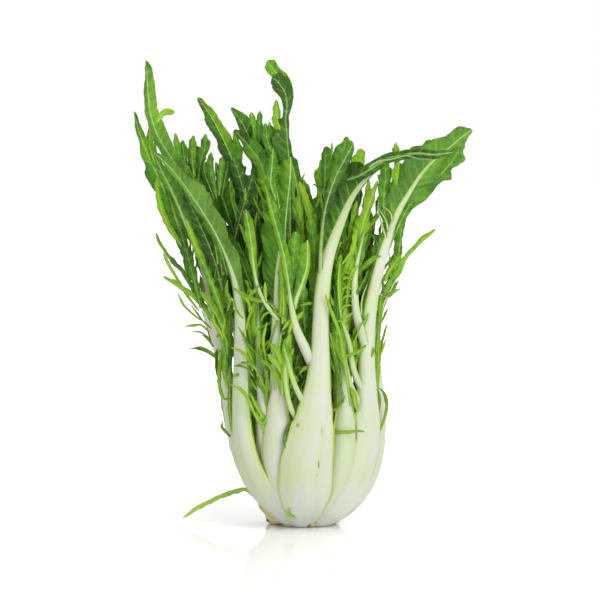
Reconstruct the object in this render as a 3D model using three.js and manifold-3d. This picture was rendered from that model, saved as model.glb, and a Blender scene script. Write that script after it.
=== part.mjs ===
// Puntarelle: a whole head of Catalogna chicory, standing on its cut crown. Every leaf grows out
// of the crown as a broad fleshy rib, wraps round the bulb, and carries its green blade higher up.
// Millimetres, +Z up. The origin is the middle of the cut face, and the head's front is at -Y.

import * as THREE from "three";
import { mergeVertices } from "three/addons/utils/BufferGeometryUtils.js";
import Module from "manifold-3d";

const wasm = await Module();
wasm.setup();

// Driving dimensions
const crownRadius = 31;
const crownHeight = 50;
const stubCentre = [-27, -18, 13.5]; // the stub beside the crown
const stubReach = 9;
const stubSlice = [-29, -22, 13]; // a point of the face where it was sliced off
const stubAzimuth = -122; // the way that face looks
const stubTilt = 19; // and how far down
const bulbRadius = 63; // midribs of the outer leaves, where the bulb is widest
const waistHeight = 140; // the leaves spread apart above this
const shootRing = 18.5; // the outer shoots' distance from the central one
const shootFootShare = 0.8; // how much of that distance their feet keep
const shootRadius = 8.5; // belly of a shoot
const bladeHalf = 0.6; // half the thickness of a blade beside its rib
const ribFlatness = 0.45; // a narrow rib's half depth over its half width
const ribDepthMost = 4.5; // half the depth of the widest ribs
const cupRadius = 60; // a leaf curls round the bulb at this radius
const gap = 0.35; // between pieces that touch
const smallestDetail = 0.02;
const boardSide = 400; // of the level board that everything is cut off on
const boardThickness = 40;

// How many steps a piece has from base to tip
const leafRows = 14;
const ringLeafRows = 12;
const sprigRows = 10;
const branchRows = 6;

// How the bulb swells: [height, radius over bulbRadius] of an outer midrib
const bulbProfile = [
  [4, 0.35], [14, 0.57], [30, 0.78], [52, 0.92], [80, 0.985], [110, 1], [140, 1], [400, 1],
];

const leafMaterial = new THREE.MeshStandardMaterial({ color: 0x6f9a3e, roughness: 0.5, metalness: 0 });
const ribMaterial = new THREE.MeshStandardMaterial({ color: 0xd3dfba, roughness: 0.4, metalness: 0 });
const shootMaterial = new THREE.MeshStandardMaterial({ color: 0xb9d08a, roughness: 0.4, metalness: 0 });
const crownMaterial = new THREE.MeshStandardMaterial({ color: 0xb79a5c, roughness: 0.8, metalness: 0 });

// The leaves that show from the front. A station is [x, y, z, rib, left blade, right blade]: a point
// of the midrib, the rib's half width, and how far the blade reaches past the rib on each side,
// as seen from outside. faces gives the azimuth that the outer side looks to, at the base and the tip.
const frontLeaves = {
  front_leaf: {
    faces: [-84, -98],
    stations: [
      [1, -24, 3, 12], [1, -41, 14, 16], [2, -53, 30, 20.5], [3, -60, 52, 20.5], [7, -63, 78, 17.5],
      [10.5, -63, 105, 12.3], [13.3, -60, 135, 8.3], [14, -57, 165, 6.6], [15.5, -55, 195, 6.2],
      [20, -54, 222, 5.4, 8, 2], [29, -55, 247, 4.4, 16, 3], [38, -57, 268, 3.4, 21, 3],
      [47, -61, 283, 2.8, 19, 4], [59, -65, 294, 2.6, 10, 5], [74, -69, 301, 2.2, 5, 5],
      [90, -71, 303, 1.9, 5, 5], [105, -73, 302, 1.5, 4, 5], [119, -74, 305, 0.7, 1, 1],
    ],
    branches: [
      [[14, -56, 205, 2], [14, -60, 235, 1.8, 3, 3], [18, -62, 262, 1.6, 4, 4],
        [26, -64, 286, 1.4, 5, 5], [40, -65, 313, 0.5, 1, 1]],
      [[9.5, -57, 130, 3.6], [1, -61, 149, 4.3], [-5.5, -62, 164, 3.7], [-9, -63, 180, 2.5, 1, 1],
        [-11, -63, 194, 2, 2, 3], [-13, -63, 207, 1.8, 3, 4], [-15, -62, 222, 1.6, 3, 5],
        [-19, -62, 238, 1.4, 3, 4], [-24, -61, 256, 1.2, 3, 3], [-30, -60, 278, 0.5, 1, 1]],
      [[-8, -62, 178, 2.2], [-5, -63, 190, 2, 3, 2], [-1, -63, 201, 1.8, 7, 2.5],
        [2.5, -62, 213, 1.6, 10, 2], [3.5, -62, 224, 1.4, 7, 2], [3.5, -62, 236, 0.5, 1, 1]],
      [[4, -60, 98, 2.5], [-1, -62, 108, 2.8], [-6, -63, 118, 2.4], [-10, -64, 130, 2, 2, 2],
        [-13, -64, 142, 1.6, 4, 4], [-16, -64, 154, 0.5, 1, 1]],
    ],
  },
  left_leaf: {
    faces: [-136, -104],
    stations: [
      [-13, -20, 3, 11], [-22, -30, 14, 14], [-33, -38, 29, 15.5], [-43, -42, 48, 14],
      [-48.7, -43, 73, 10.9], [-50.5, -43, 101, 8.7], [-50.7, -42, 140, 7], [-50.8, -42, 170, 5.6],
      [-53, -43, 193, 4, 1, 5], [-58, -45, 212, 3.2, 2, 11], [-66, -47, 232, 2.6, 4, 14],
      [-76, -50, 251, 2.4, 5, 15], [-89, -52, 272, 2.4, 7, 14], [-101, -52, 291, 2.2, 9, 11],
      [-112, -51, 310, 2, 9, 9], [-120, -50, 330, 1.6, 7, 7], [-124, -50, 350, 1.3, 6, 6],
      [-125.5, -50, 367, 1.2, 5.5, 5], [-126, -49, 380, 0.8, 2.5, 2],
    ],
  },
  right_leaf: {
    faces: [-50, -86],
    stations: [
      [14, -20, 3, 12], [27, -28, 13, 15], [39, -33, 30, 16], [48, -36, 52, 15], [52.5, -37, 80, 13.3],
      [52.5, -37, 110, 9], [52, -37, 140, 7.3], [53, -37, 165, 6.6], [55.5, -38, 185, 5.8],
      [59.5, -40, 205, 5], [64.5, -41, 224, 4.4, 1, 1], [69.5, -43, 240, 4, 4, 3],
      [77, -46, 259, 3.2, 12, 10], [86, -48, 275, 2.6, 17, 20], [95, -50, 289, 2.2, 17, 24],
      [104, -52, 299, 1.9, 12, 20], [114, -53, 307, 1.6, 9, 12], [124, -54, 316, 1.3, 8, 6],
      [135, -54, 324, 0.6, 2, 2],
    ],
    branches: [
      [[51, -38, 146, 3.4], [47, -42, 160, 3.7], [42.5, -44, 179, 3.3], [41.5, -45, 199, 2.8],
        [43, -45, 214, 2.2, 4, 3], [46, -44, 228, 1.6, 6, 5], [49, -44, 242, 0.6, 1, 1]],
      [[48.5, -38, 112, 2.6], [43.5, -45, 123, 2.7], [40, -47, 135, 2.5], [38, -48, 148, 2.3],
        [35, -49, 160, 2], [31, -50, 171, 0.7]],
    ],
  },
  mid_left_leaf: {
    faces: [-110, -96],
    stations: [
      [-8, -18, 4, 10], [-13, -33, 14, 13], [-18, -44, 30, 13], [-22, -50, 50, 12.5],
      [-22, -52, 72, 11.5], [-21, -52, 92, 9.4], [-21, -52, 115, 6.6], [-22, -51, 140, 4.8],
      [-22, -50, 165, 4.2], [-21.5, -50, 188, 3.4, 8, 2], [-20.5, -50, 208, 2.8, 17, 4],
      [-18.5, -50, 228, 2.4, 19, 5], [-16, -51, 247, 2, 18, 4], [-13, -52, 268, 1.6, 16, 3],
      [-11, -53, 285, 1.2, 11, 2], [-10, -53, 301, 0.5, 1, 1],
    ],
  },
  mid_right_leaf: {
    faces: [-52, -84],
    stations: [
      [8, -18, 4, 10], [17, -30, 14, 12], [25, -39, 30, 13], [32, -44, 50, 13], [34, -46, 75, 11],
      [34, -46, 100, 7], [33, -44, 130, 4.4, 1, 1], [32, -41, 160, 3.4, 3, 3], [35, -42, 190, 2.8, 6, 5],
      [41, -42, 215, 2.4, 9, 8], [46, -42, 240, 2, 9, 7], [53, -43, 264, 1.4, 6, 5],
      [60, -44, 283, 0.5, 1, 1],
    ],
  },
  mid_left_inner_leaf: {
    faces: [-128, -100],
    stations: [
      [-12, -14, 5, 8], [-22, -26, 15, 11], [-29, -36, 32, 9], [-32, -43, 60, 6], [-33, -46, 90, 5],
      [-34, -46, 120, 4], [-36, -45, 150, 3.4, 2, 2], [-37, -42, 180, 2.6, 5, 5],
      [-40, -42, 210, 2, 7, 7], [-44, -42, 235, 1.5, 6, 6], [-48, -42, 259, 0.5, 1, 1],
    ],
  },
  far_left_leaf: {
    faces: [-172, -110],
    stations: [
      [-16, -7, 5, 9], [-26, -8, 14, 11], [-40, -9, 29, 13], [-51, -9, 52, 13], [-58, -8, 80, 11],
      [-62, -7, 110, 8], [-66, -7, 138, 6.4], [-71, -9, 160, 5.4], [-76, -11, 182, 4.4, 1, 1],
      [-80, -14, 203, 3.6, 3, 3], [-87, -18, 228, 2.8, 6, 8], [-96, -22, 250, 2.4, 8, 9],
      [-105, -25, 272, 2, 7, 9], [-114, -28, 290, 1.4, 4, 5], [-120, -30, 304, 0.5, 1, 1],
    ],
  },
  outer_left_leaf: {
    faces: [170, -130],
    stations: [
      [-15, 4, 5, 8], [-23.5, 8, 14, 11], [-36.5, 11, 30, 12], [-47.5, 13, 55, 11], [-56, 14, 85, 9],
      [-62.5, 14, 115, 7], [-70, 13, 145, 5.8], [-81, 10, 175, 4.8, 1, 1], [-90, 6, 205, 3.4, 3, 4],
      [-99, 2, 233, 2.8, 5, 6], [-107, -2, 257, 2.4, 8, 9], [-116, -5, 280, 2, 10, 9],
      [-126, -6, 302, 1.6, 8, 8], [-133, -7, 320, 1.2, 4, 4], [-138, -8, 339, 0.5, 1, 1],
    ],
  },
  far_right_leaf: {
    faces: [-8, -60],
    stations: [
      [20, -8, 4, 10], [37, -8, 13, 12], [51, -8, 29, 14], [60, -6, 52, 13], [63, -3, 80, 11],
      [62, 0, 110, 8], [60, 2, 140, 5.6], [62, 2, 165, 4.4], [67, 1, 185, 3.2, 2, 2],
      [73, 0, 203, 2.6, 6, 6], [78, -1, 222, 2, 6, 6], [80, -2, 240, 1.4, 5, 5], [82, -3, 257, 0.5, 1, 1],
    ],
  },
  tall_leaf: {
    faces: [-100, -80],
    stations: [
      [-3, -14, 8, 6], [-5, -24, 30, 8], [-8, -32, 60, 7.5], [-10, -36, 100, 5.5, 1, 1],
      [-11, -38, 150, 4.2, 6, 6], [-11, -40, 200, 3.2, 9, 7], [-11, -41, 250, 2.6, 12, 3],
      [-11, -42, 290, 2.2, 14, 2], [-13, -42, 318, 1.9, 10, 2], [-13, -42, 333, 1.6, 4, 4],
      [-12, -42, 347, 1.4, 5, 6], [-17, -43, 360, 1.2, 7, 7], [-24, -44, 371, 1, 6, 6],
      [-29, -44, 380, 0.5, 1, 1],
    ],
  },
  slim_leaf: {
    faces: [-110, -100],
    stations: [
      [-8, -12, 8, 6], [-14, -22, 28, 8], [-18, -27, 60, 7.5], [-21, -30, 100, 5.5, 1, 1],
      [-22, -33, 150, 4, 6, 6], [-23, -35, 200, 3, 6, 5], [-25, -36, 245, 2.4, 10, 8],
      [-28, -36, 275, 2, 9, 8], [-34, -36, 297, 1.6, 8, 8], [-44, -37, 311, 1.2, 5, 5],
      [-55, -37, 324, 0.5, 1, 1],
    ],
  },
  oak_leaf: {
    faces: [-70, -84],
    stations: [
      [3, -12, 8, 6], [8, -22, 30, 8], [12, -28, 60, 7.5], [14, -31, 100, 5.5, 2, 2],
      [15, -33, 150, 4, 8, 8], [16, -34, 200, 3, 11, 11], [18, -35, 240, 2.4, 11, 11],
      [21, -35, 268, 2, 12, 12], [28, -36, 292, 1.6, 12, 12], [35, -36, 317, 0.6, 1, 1],
    ],
  },
  middle_leaf: {
    faces: [-90, -90],
    stations: [
      [1, -8, 10, 4], [2, -18, 32, 6], [3, -24, 60, 6.5], [3, -27, 100, 4.6, 2, 2],
      [2, -28, 150, 3.4, 8, 8], [1, -29, 200, 2.4, 10, 10], [2, -30, 235, 2, 8, 8],
      [2, -30, 258, 1.5, 7, 7], [0, -30, 284, 0.5, 1, 1],
    ],
  },
  broad_leaf: {
    faces: [-120, -95],
    stations: [
      [-7, -6, 10, 5], [-15, -13, 30, 6], [-21, -18, 60, 6.5], [-24, -21, 100, 5.4, 2, 2],
      [-25, -24, 150, 4, 9, 9], [-26, -27, 200, 3, 12, 12], [-28, -28, 250, 2.5, 14, 14],
      [-33, -29, 288, 2, 11, 12], [-40, -30, 308, 1.6, 8, 9], [-48, -30, 327, 1.2, 4, 5],
      [-58, -30, 342, 0.5, 1, 1],
    ],
  },
  pointed_leaf: {
    faces: [-150, -98],
    stations: [
      [-12, -4, 8, 7], [-28, -8, 28, 9], [-38, -14, 60, 8.5], [-42, -18, 100, 6.4, 1, 1],
      [-43, -20, 150, 4.6, 7, 7], [-44, -22, 200, 3.4, 10, 10], [-46, -24, 245, 2.8, 11, 11],
      [-51, -25, 277, 2.4, 8, 9], [-57, -26, 298, 2, 8, 9], [-65, -27, 317, 1.6, 7, 7],
      [-74, -28, 334, 1.2, 5, 5], [-85, -30, 350, 0.5, 1, 1],
    ],
  },
  forked_leaf: {
    faces: [-150, -115],
    stations: [
      [-14, -1, 12, 5], [-26, -2, 30, 7], [-33, -3, 60, 7.5], [-35, -5, 100, 5.5, 1, 1],
      [-38, -9, 150, 4, 8, 8], [-46, -14, 200, 3, 11, 11], [-56, -18, 240, 2.4, 11, 11],
      [-65, -20, 268, 1.9, 10, 9], [-71, -21, 302, 0.6, 1, 1],
    ],
  },
  antler_leaf: {
    faces: [170, -120],
    stations: [
      [-18, 6, 8, 7], [-31, 8, 24, 9], [-42, 10, 52, 9.5], [-47, 10, 85, 8.5], [-47, 8, 120, 6, 4, 4],
      [-50, 3, 160, 4.5, 8, 8], [-57, -3, 200, 3.3, 11, 11], [-65, -7, 235, 2.6, 11, 11],
      [-77, -11, 268, 2.1, 12, 12], [-87, -13, 294, 1.6, 10, 10], [-90, -13, 318, 0.6, 1, 1],
    ],
  },
};

// The rest of the head: rings of leaves worked out from the bulb's shape. girth is the ring's radius
// over the outer one's, lean how far a tip leans out, and sway how far round it swings, in degrees.
const leafRings = {
  back_leaf: {
    girth: 1, rib: 15, blade: 17,
    leaves: [
      { azimuth: 30, height: 298, lean: 34, sway: -6 }, { azimuth: 64, height: 312, lean: 44, sway: 8 },
      { azimuth: 98, height: 334, lean: 46, sway: 14 }, { azimuth: 132, height: 326, lean: 46, sway: -10 },
    ],
  },
  back_inner_leaf: {
    girth: 0.79, rib: 12, blade: 14,
    leaves: [
      { azimuth: 8, height: 268, lean: 14, sway: 4 }, { azimuth: 46, height: 292, lean: 18, sway: -5 },
      { azimuth: 82, height: 322, lean: 22, sway: 22 }, { azimuth: 116, height: 332, lean: 26, sway: -4 },
      { azimuth: 150, height: 318, lean: 24, sway: 5 },
    ],
  },
  heart_leaf: {
    girth: 0.56, rib: 8, blade: 11,
    leaves: [
      { azimuth: -28, height: 262, lean: 12, sway: 4 }, { azimuth: 24, height: 284, lean: 10, sway: -6 },
      { azimuth: 64, height: 300, lean: 8, sway: 6 }, { azimuth: 104, height: 278, lean: 12, sway: -5 },
      { azimuth: 144, height: 316, lean: 10, sway: 5 },
    ],
  },
};
const shootHeights = [172, 150, 164, 142, 158, 146, 168]; // the central shoot's, then round the ring
const sprigStations = [
  [-27, 6, 9, 1.6], [-45, 8, 26, 1.7, 0.5, 0.5], [-54, 8, 26.5, 1.6, 1.5, 1.2],
  [-66, 6, 22.5, 1.5, 1.5, 1.8], [-78, 4, 17.5, 1.3, 2, 1.4], [-89, 2, 12, 1.1, 1.6, 1.6],
  [-99, 0, 5, 0.5, 0.3, 0.3],
];

function toSolid(geometry) {
  geometry.deleteAttribute("normal");
  geometry.deleteAttribute("uv");
  const merged = mergeVertices(geometry);
  const vertProperties = merged.attributes.position.array;
  const triVerts = new Uint32Array(merged.index.array);
  return new wasm.Manifold(new wasm.Mesh({ numProp: 3, vertProperties, triVerts }));
}

function toGeometry(solid) {
  const { vertProperties, triVerts } = solid.getMesh();
  const geometry = new THREE.BufferGeometry();
  geometry.setAttribute("position", new THREE.BufferAttribute(vertProperties, 3));
  geometry.setIndex(new THREE.BufferAttribute(triVerts, 1));
  geometry.computeVertexNormals();
  return geometry;
}

// A leaf is an eight-sided cylinder bent along its midrib. The cylinder's x becomes the way across the
// leaf, its z the way out through the leaf's thickness, and its y the way from base to tip. The
// cylinder is 2 wide over its flats, so that its corners lie at 1 and at the tangent of an eighth turn.
function bendLeaf(stations, faces, rows, grow = 0) {
  const midrib = new THREE.CatmullRomCurve3(stations.map(([x, y, z]) => new THREE.Vector3(x, y, z)));
  const widths = new THREE.CatmullRomCurve3(
    stations.map(([, , , rib, left = 0, right = 0]) => new THREE.Vector3(rib, left, right)),
    false,
    "catmullrom",
  );
  const halfSide = Math.PI / 8;
  const cornerRadius = 1 / Math.cos(halfSide);
  const ribCorner = Math.tan(halfSide);
  const leaf = new THREE.CylinderGeometry(cornerRadius, cornerRadius, 1, 8, rows, false, halfSide);
  const corners = leaf.attributes.position;
  for (let i = 0; i < corners.count; i++) {
    const along = corners.getY(i) + 0.5;
    const across = corners.getX(i);
    const through = corners.getZ(i);

    const point = midrib.getPoint(along);
    const tangent = midrib.getTangent(along);
    const azimuth = THREE.MathUtils.degToRad(THREE.MathUtils.lerp(...faces, along));
    const outward = new THREE.Vector3(Math.cos(azimuth), Math.sin(azimuth), -0.5);
    outward.addScaledVector(tangent, -outward.dot(tangent)).normalize();
    const rightward = new THREE.Vector3().crossVectors(tangent, outward);

    const { x: rib, y: left, z: right } = widths.getPoint(along);
    const blade = Math.max(across < 0 ? left : right, 0);
    const pastRib = Math.max(Math.abs(across) - ribCorner, 0) / (1 - ribCorner);
    const reach = across * rib + Math.sign(across) * pastRib * blade;
    const depth = through * (bladeHalf + Math.min(ribDepthMost, ribFlatness * rib));
    const pastEnd = along === 0 ? -grow : along === 1 ? grow : 0;

    point.addScaledVector(rightward, reach + Math.sign(across) * grow);
    point.addScaledVector(outward, depth + Math.sign(through) * grow - reach ** 2 / (2 * cupRadius));
    point.addScaledVector(tangent, pastEnd);
    corners.setXYZ(i, point.x, point.y, point.z);
  }
  return toSolid(leaf);
}

function growLeaf({ stations, faces, branches = [] }, rows, grow) {
  let leaf = bendLeaf(stations, faces, rows, grow);
  for (const branch of branches) {
    leaf = leaf.add(bendLeaf(branch, [faces[1], faces[1]], branchRows, grow));
  }
  return leaf;
}

function bulbRadiusAt(height) {
  const above = bulbProfile.findIndex(([level]) => level >= height);
  const [lowLevel, lowShare] = bulbProfile[Math.max(above - 1, 0)];
  const [level, share] = bulbProfile[above];
  const part = level === lowLevel ? 0 : (height - lowLevel) / (level - lowLevel);
  return bulbRadius * THREE.MathUtils.lerp(lowShare, share, part);
}

// A ring leaf's stations, from the crown up. The rib is widest low on the bulb, and the blade opens
// above the waist and closes again at the tip.
function ringLeaf({ girth, rib, blade }, { azimuth, height, lean, sway }) {
  const levels = [4, 14, 30, 52, 80, 110, 140];
  for (const share of [0.2, 0.4, 0.6, 0.8, 0.93, 1]) {
    levels.push(THREE.MathUtils.lerp(waistHeight, height, share));
  }
  const stations = levels.map((level) => {
    const spread = Math.max(level - waistHeight, 0) / (height - waistHeight);
    const radius = girth * bulbRadiusAt(level) + lean * spread ** 1.6;
    const turn = THREE.MathUtils.degToRad(azimuth + sway * spread ** 2);
    const swell = THREE.MathUtils.smoothstep(level, -30, 30);
    const thin = THREE.MathUtils.smoothstep(level, 50, 200) * 0.75;
    const ribHalf = Math.max(rib * swell * (1 - thin) * (1 - spread ** 3), 0.6);
    const bladeReach = blade * Math.sin(Math.PI * spread ** 1.3) + (spread > 0 ? 1 : 0);
    return [radius * Math.cos(turn), radius * Math.sin(turn), level, ribHalf, bladeReach, bladeReach];
  });
  return { stations, faces: [azimuth, azimuth + sway] };
}

// The crown is the stump that the leaves grow from: a flat cut face below, a dome above, and on the
// left a stub whose end was sliced off at a slant.
function makeCrown(grow = 0) {
  const wide = crownRadius + grow;
  const top = crownHeight + grow;
  const profile = [
    [0, -grow], [wide * 0.9, -grow], [wide, 5], [wide, 14], [wide * 0.94, 24],
    [wide * 0.74, 36], [wide * 0.4, top - 4], [0, top],
  ];
  const points = profile.map(([radius, height]) => new THREE.Vector2(radius, height));
  const dome = new THREE.LatheGeometry(points, 24);
  dome.rotateX(Math.PI / 2);
  const stub = new THREE.SphereGeometry(1, 14, 8);
  stub.scale(stubReach + grow, stubReach - 1 + grow, stubReach - 1 + grow);
  stub.translate(...stubCentre);
  const knifeSide = 60;
  const knife = new THREE.BoxGeometry(knifeSide, knifeSide, knifeSide);
  knife.translate(knifeSide / 2 + grow, 0, 0);
  knife.rotateY(THREE.MathUtils.degToRad(stubTilt));
  knife.rotateZ(THREE.MathUtils.degToRad(stubAzimuth));
  knife.translate(...stubSlice);
  const crown = toSolid(dome).add(toSolid(stub).subtract(toSolid(knife)));
  return crown.subtract(makeBoard(-grow));
}

// Everything is cut off level with this board's top
function makeBoard(top) {
  const board = new THREE.BoxGeometry(boardSide, boardSide, boardThickness);
  board.translate(0, 0, top - boardThickness / 2);
  return toSolid(board);
}

// A shoot is a plump stalk with a pointed tip that starts on the crown's dome
function makeShoot(height, azimuth, distance, grow = 0) {
  const foot = crownHeight * 0.7; // on the dome's shoulder
  const length = height - foot;
  const profile = [[0, 0], [0.6, 0], [0.9, 0.2], [1, 0.45], [0.86, 0.68], [0.5, 0.86], [0.12, 1], [0, 1]];
  const points = profile.map(([share, part]) => {
    const radius = share === 0 ? 0 : share * shootRadius + grow;
    return new THREE.Vector2(radius, part === 1 ? length + grow : part * length);
  });
  const shoot = new THREE.LatheGeometry(points, 10);
  shoot.rotateX(Math.PI / 2);
  shoot.rotateY(THREE.MathUtils.degToRad(distance / 3)); // an outer shoot leans out a little
  shoot.rotateZ(THREE.MathUtils.degToRad(azimuth));
  const turn = THREE.MathUtils.degToRad(azimuth);
  const footDistance = shootFootShare * distance;
  shoot.translate(footDistance * Math.cos(turn), footDistance * Math.sin(turn), foot);
  return toSolid(shoot);
}

// Pieces are fitted in order. Each is cut back by the clearance round the ones before it, and only
// its main body is kept.
const head = new THREE.Group();
const board = makeBoard(0);
const taken = [];

function plant(name, material, make) {
  let solid = make(0).subtract(board);
  for (const clearance of taken) {
    solid = solid.subtract(clearance);
  }
  const [main] = solid.decompose().sort((a, b) => b.volume() - a.volume());
  taken.push(make(gap));
  const mesh = new THREE.Mesh(toGeometry(main.simplify(smallestDetail)), material);
  mesh.name = name;
  head.add(mesh);
}

plant("crown", crownMaterial, makeCrown);

for (const [name, leaf] of Object.entries(frontLeaves)) {
  plant(name, ribMaterial, (grow) => growLeaf(leaf, leafRows, grow));
}

for (const [ringName, ring] of Object.entries(leafRings)) {
  for (const [index, leaf] of ring.leaves.entries()) {
    const shape = ringLeaf(ring, leaf);
    plant(`${ringName}_${index + 1}`, leafMaterial, (grow) => growLeaf(shape, ringLeafRows, grow));
  }
}

for (const [index, height] of shootHeights.entries()) {
  const azimuth = 60 * index;
  const distance = index === 0 ? 0 : shootRing;
  plant(`shoot_${index + 1}`, shootMaterial, (grow) => makeShoot(height, azimuth, distance, grow));
}

plant("low_sprig", leafMaterial, (grow) => bendLeaf(sprigStations, [180, 180], sprigRows, grow));

export default head;
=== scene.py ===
import math

import bpy
import numpy as np
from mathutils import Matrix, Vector


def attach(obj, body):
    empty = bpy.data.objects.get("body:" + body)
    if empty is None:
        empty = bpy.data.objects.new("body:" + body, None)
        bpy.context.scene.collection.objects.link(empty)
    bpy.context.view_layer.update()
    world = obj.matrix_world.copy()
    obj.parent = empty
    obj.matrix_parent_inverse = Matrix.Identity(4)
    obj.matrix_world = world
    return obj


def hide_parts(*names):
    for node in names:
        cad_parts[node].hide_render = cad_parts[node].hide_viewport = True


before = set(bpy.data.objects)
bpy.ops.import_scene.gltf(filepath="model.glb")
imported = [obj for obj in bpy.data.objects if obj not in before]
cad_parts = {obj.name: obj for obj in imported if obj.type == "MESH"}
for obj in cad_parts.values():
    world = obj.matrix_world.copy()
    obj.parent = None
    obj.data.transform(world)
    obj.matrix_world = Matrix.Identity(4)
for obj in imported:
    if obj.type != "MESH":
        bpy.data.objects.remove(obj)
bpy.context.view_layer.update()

# A head of puntarelle on its cut crown. Sizes below are millimetres and degrees unless a note says
# otherwise, and meshes are scaled to metres as they are made.
mm = 0.001
stage = bpy.context.scene


class Wire:  # one socket, so that sums written on it become Math nodes
    def __init__(self, paint, socket):
        self.paint = paint
        self.socket = socket

    def out(self, index):
        return Wire(self.paint, self.socket.node.outputs[index])

    def __add__(self, other):
        return self.paint.sum("ADD", self, other)

    def __radd__(self, other):
        return self.paint.sum("ADD", other, self)

    def __sub__(self, other):
        return self.paint.sum("SUBTRACT", self, other)

    def __rsub__(self, other):
        return self.paint.sum("SUBTRACT", other, self)

    def __mul__(self, other):
        return self.paint.sum("MULTIPLY", self, other)


class Paint:  # the nodes of one material, or of the sky
    def __init__(self, owner):
        self.owner = owner
        self.owner.use_nodes = True
        self.tree = owner.node_tree
        self.tree.nodes.clear()

    def add(self, kind, settings=None, values=None, output=0):
        node = self.tree.nodes.new("ShaderNode" + kind)
        for key, value in (settings or {}).items():
            if key == "stops":
                while len(node.color_ramp.elements) < len(value):
                    node.color_ramp.elements.new(1)
                for element, (position, colour) in zip(node.color_ramp.elements, value):
                    element.position = position
                    element.color = (*colour, 1)
            else:
                setattr(node, key, value)
        for key, value in (values or {}).items():
            if isinstance(value, Wire):
                self.tree.links.new(value.socket, node.inputs[key])
            else:
                node.inputs[key].default_value = value
        return Wire(self, node.outputs[output] if node.outputs else None)

    def sum(self, operation, first, second):
        return self.add("Math", {"operation": operation}, {0: first, 1: second})

    def ease(self, value, low, high):  # 0 below low, 1 above high
        return self.add("MapRange", {"interpolation_type": "SMOOTHSTEP"}, {0: value, 1: low, 2: high})

    def blend(self, share, first, second):
        first = first if isinstance(first, Wire) else (*first, 1)
        second = second if isinstance(second, Wire) else (*second, 1)
        return self.add("Mix", {"data_type": "RGBA"}, {0: share, 6: first, 7: second}, 2)

    def place(self):  # metres in the head's own frame
        return self.add("TexCoord", None, None, 3)

    def length(self, vector):
        return self.add("VectorMath", {"operation": "LENGTH"}, {0: vector}, 1)

    def noise(self, where, scale, detail=2, roughness=0.5):
        values = {"Vector": where, "Scale": scale, "Detail": detail, "Roughness": roughness}
        return self.add("TexNoise", None, values)

    def triangle(self, value):  # 1 at whole numbers, 0 half way between
        return self.sum("ABSOLUTE", self.sum("FRACT", value, 0) - 0.5, 0) * 2

    def mark(self, name):  # the three numbers a mesh stores at each point
        return self.add("SeparateXYZ", None, {0: self.add("Attribute", {"attribute_name": name}, None, 1)})

    def relief(self, finish, height):
        strength, distance = finish["relief"]
        return self.add("Bump", None, {"Strength": strength, "Distance": distance, "Height": height})

    def bruise(self, place, spots):  # 1 at the heart of each spot: x, y, z, radius, how many times as tall
        total = 0
        for x, y, z, radius, tall in spots:
            heart = (x * mm, y * mm, z * mm)
            nearby = self.add("VectorMath", {"operation": "SUBTRACT"}, {0: place, 1: heart})
            shape = (1, 0.5, 1 / tall)
            squeezed = self.add("VectorMath", {"operation": "MULTIPLY"}, {0: nearby, 1: shape})
            total = total + (1 - self.ease(self.length(squeezed), radius * 0.3 * mm, radius * mm))
        return total

    def finish(self, shader, output="OutputMaterial"):
        self.add(output, None, {"Surface": shader})
        return self.owner


leafFinish = {
    # bladeDeep to bladeBright, and underside to underLight, run from painted shade to painted highlight as
    # well as the leaves' own darker and paler greens
    "bladeDeep": (0.006, 0.038, 0.001), "bladeMid": (0.066, 0.238, 0.002),
    "bladeBright": (0.370, 0.650, 0.012), "underside": (0.064, 0.150, 0.023),
    "underLight": (0.190, 0.375, 0.080), "lowBlade": (0.470, 0.610, 0.110), "vein": (0.270, 0.470, 0.070),
    "ribBaseAndPaintedLight": (0.540, 0.540, 0.570), "ribLow": (0.468, 0.482, 0.436), "ribTinge": (0.390, 0.470, 0.200),
    "ribHigh": (0.170, 0.340, 0.030), "ribMargin": (0.330, 0.470, 0.050), "speck": (0.260, 0.110, 0.015),
    "patchScale": 34, "mottleScale": 260, "crumpleScale": 115, "netScale": 380,  # per metre
    "roughness": 0.4, "shine": 0.18, "relief": (0.6, 0.7 * mm),
    "glow": (0.150, 0.420, 0.006), "showThrough": 0.3,  # light that comes through a blade
    "spots": [
        (-4, -64, 88, 2.2, 1.5), (4, -66, 92, 1.1, 1), (6, -66, 89.5, 1, 1), (15, -65, 84, 1, 8),
        (12.5, -63, 55, 1.2, 5), (11, -62, 47, 1.2, 2), (43, -43, 78, 1.5, 9), (-45, -45, 66, 1.5, 1.4),
        (52, -36, 34, 1.8, 3), (-33, -44, 67, 1.3, 2), (-1, -40, 9, 1.4, 1), (47, -42, 104, 1.2, 5),
    ],
}


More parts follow.
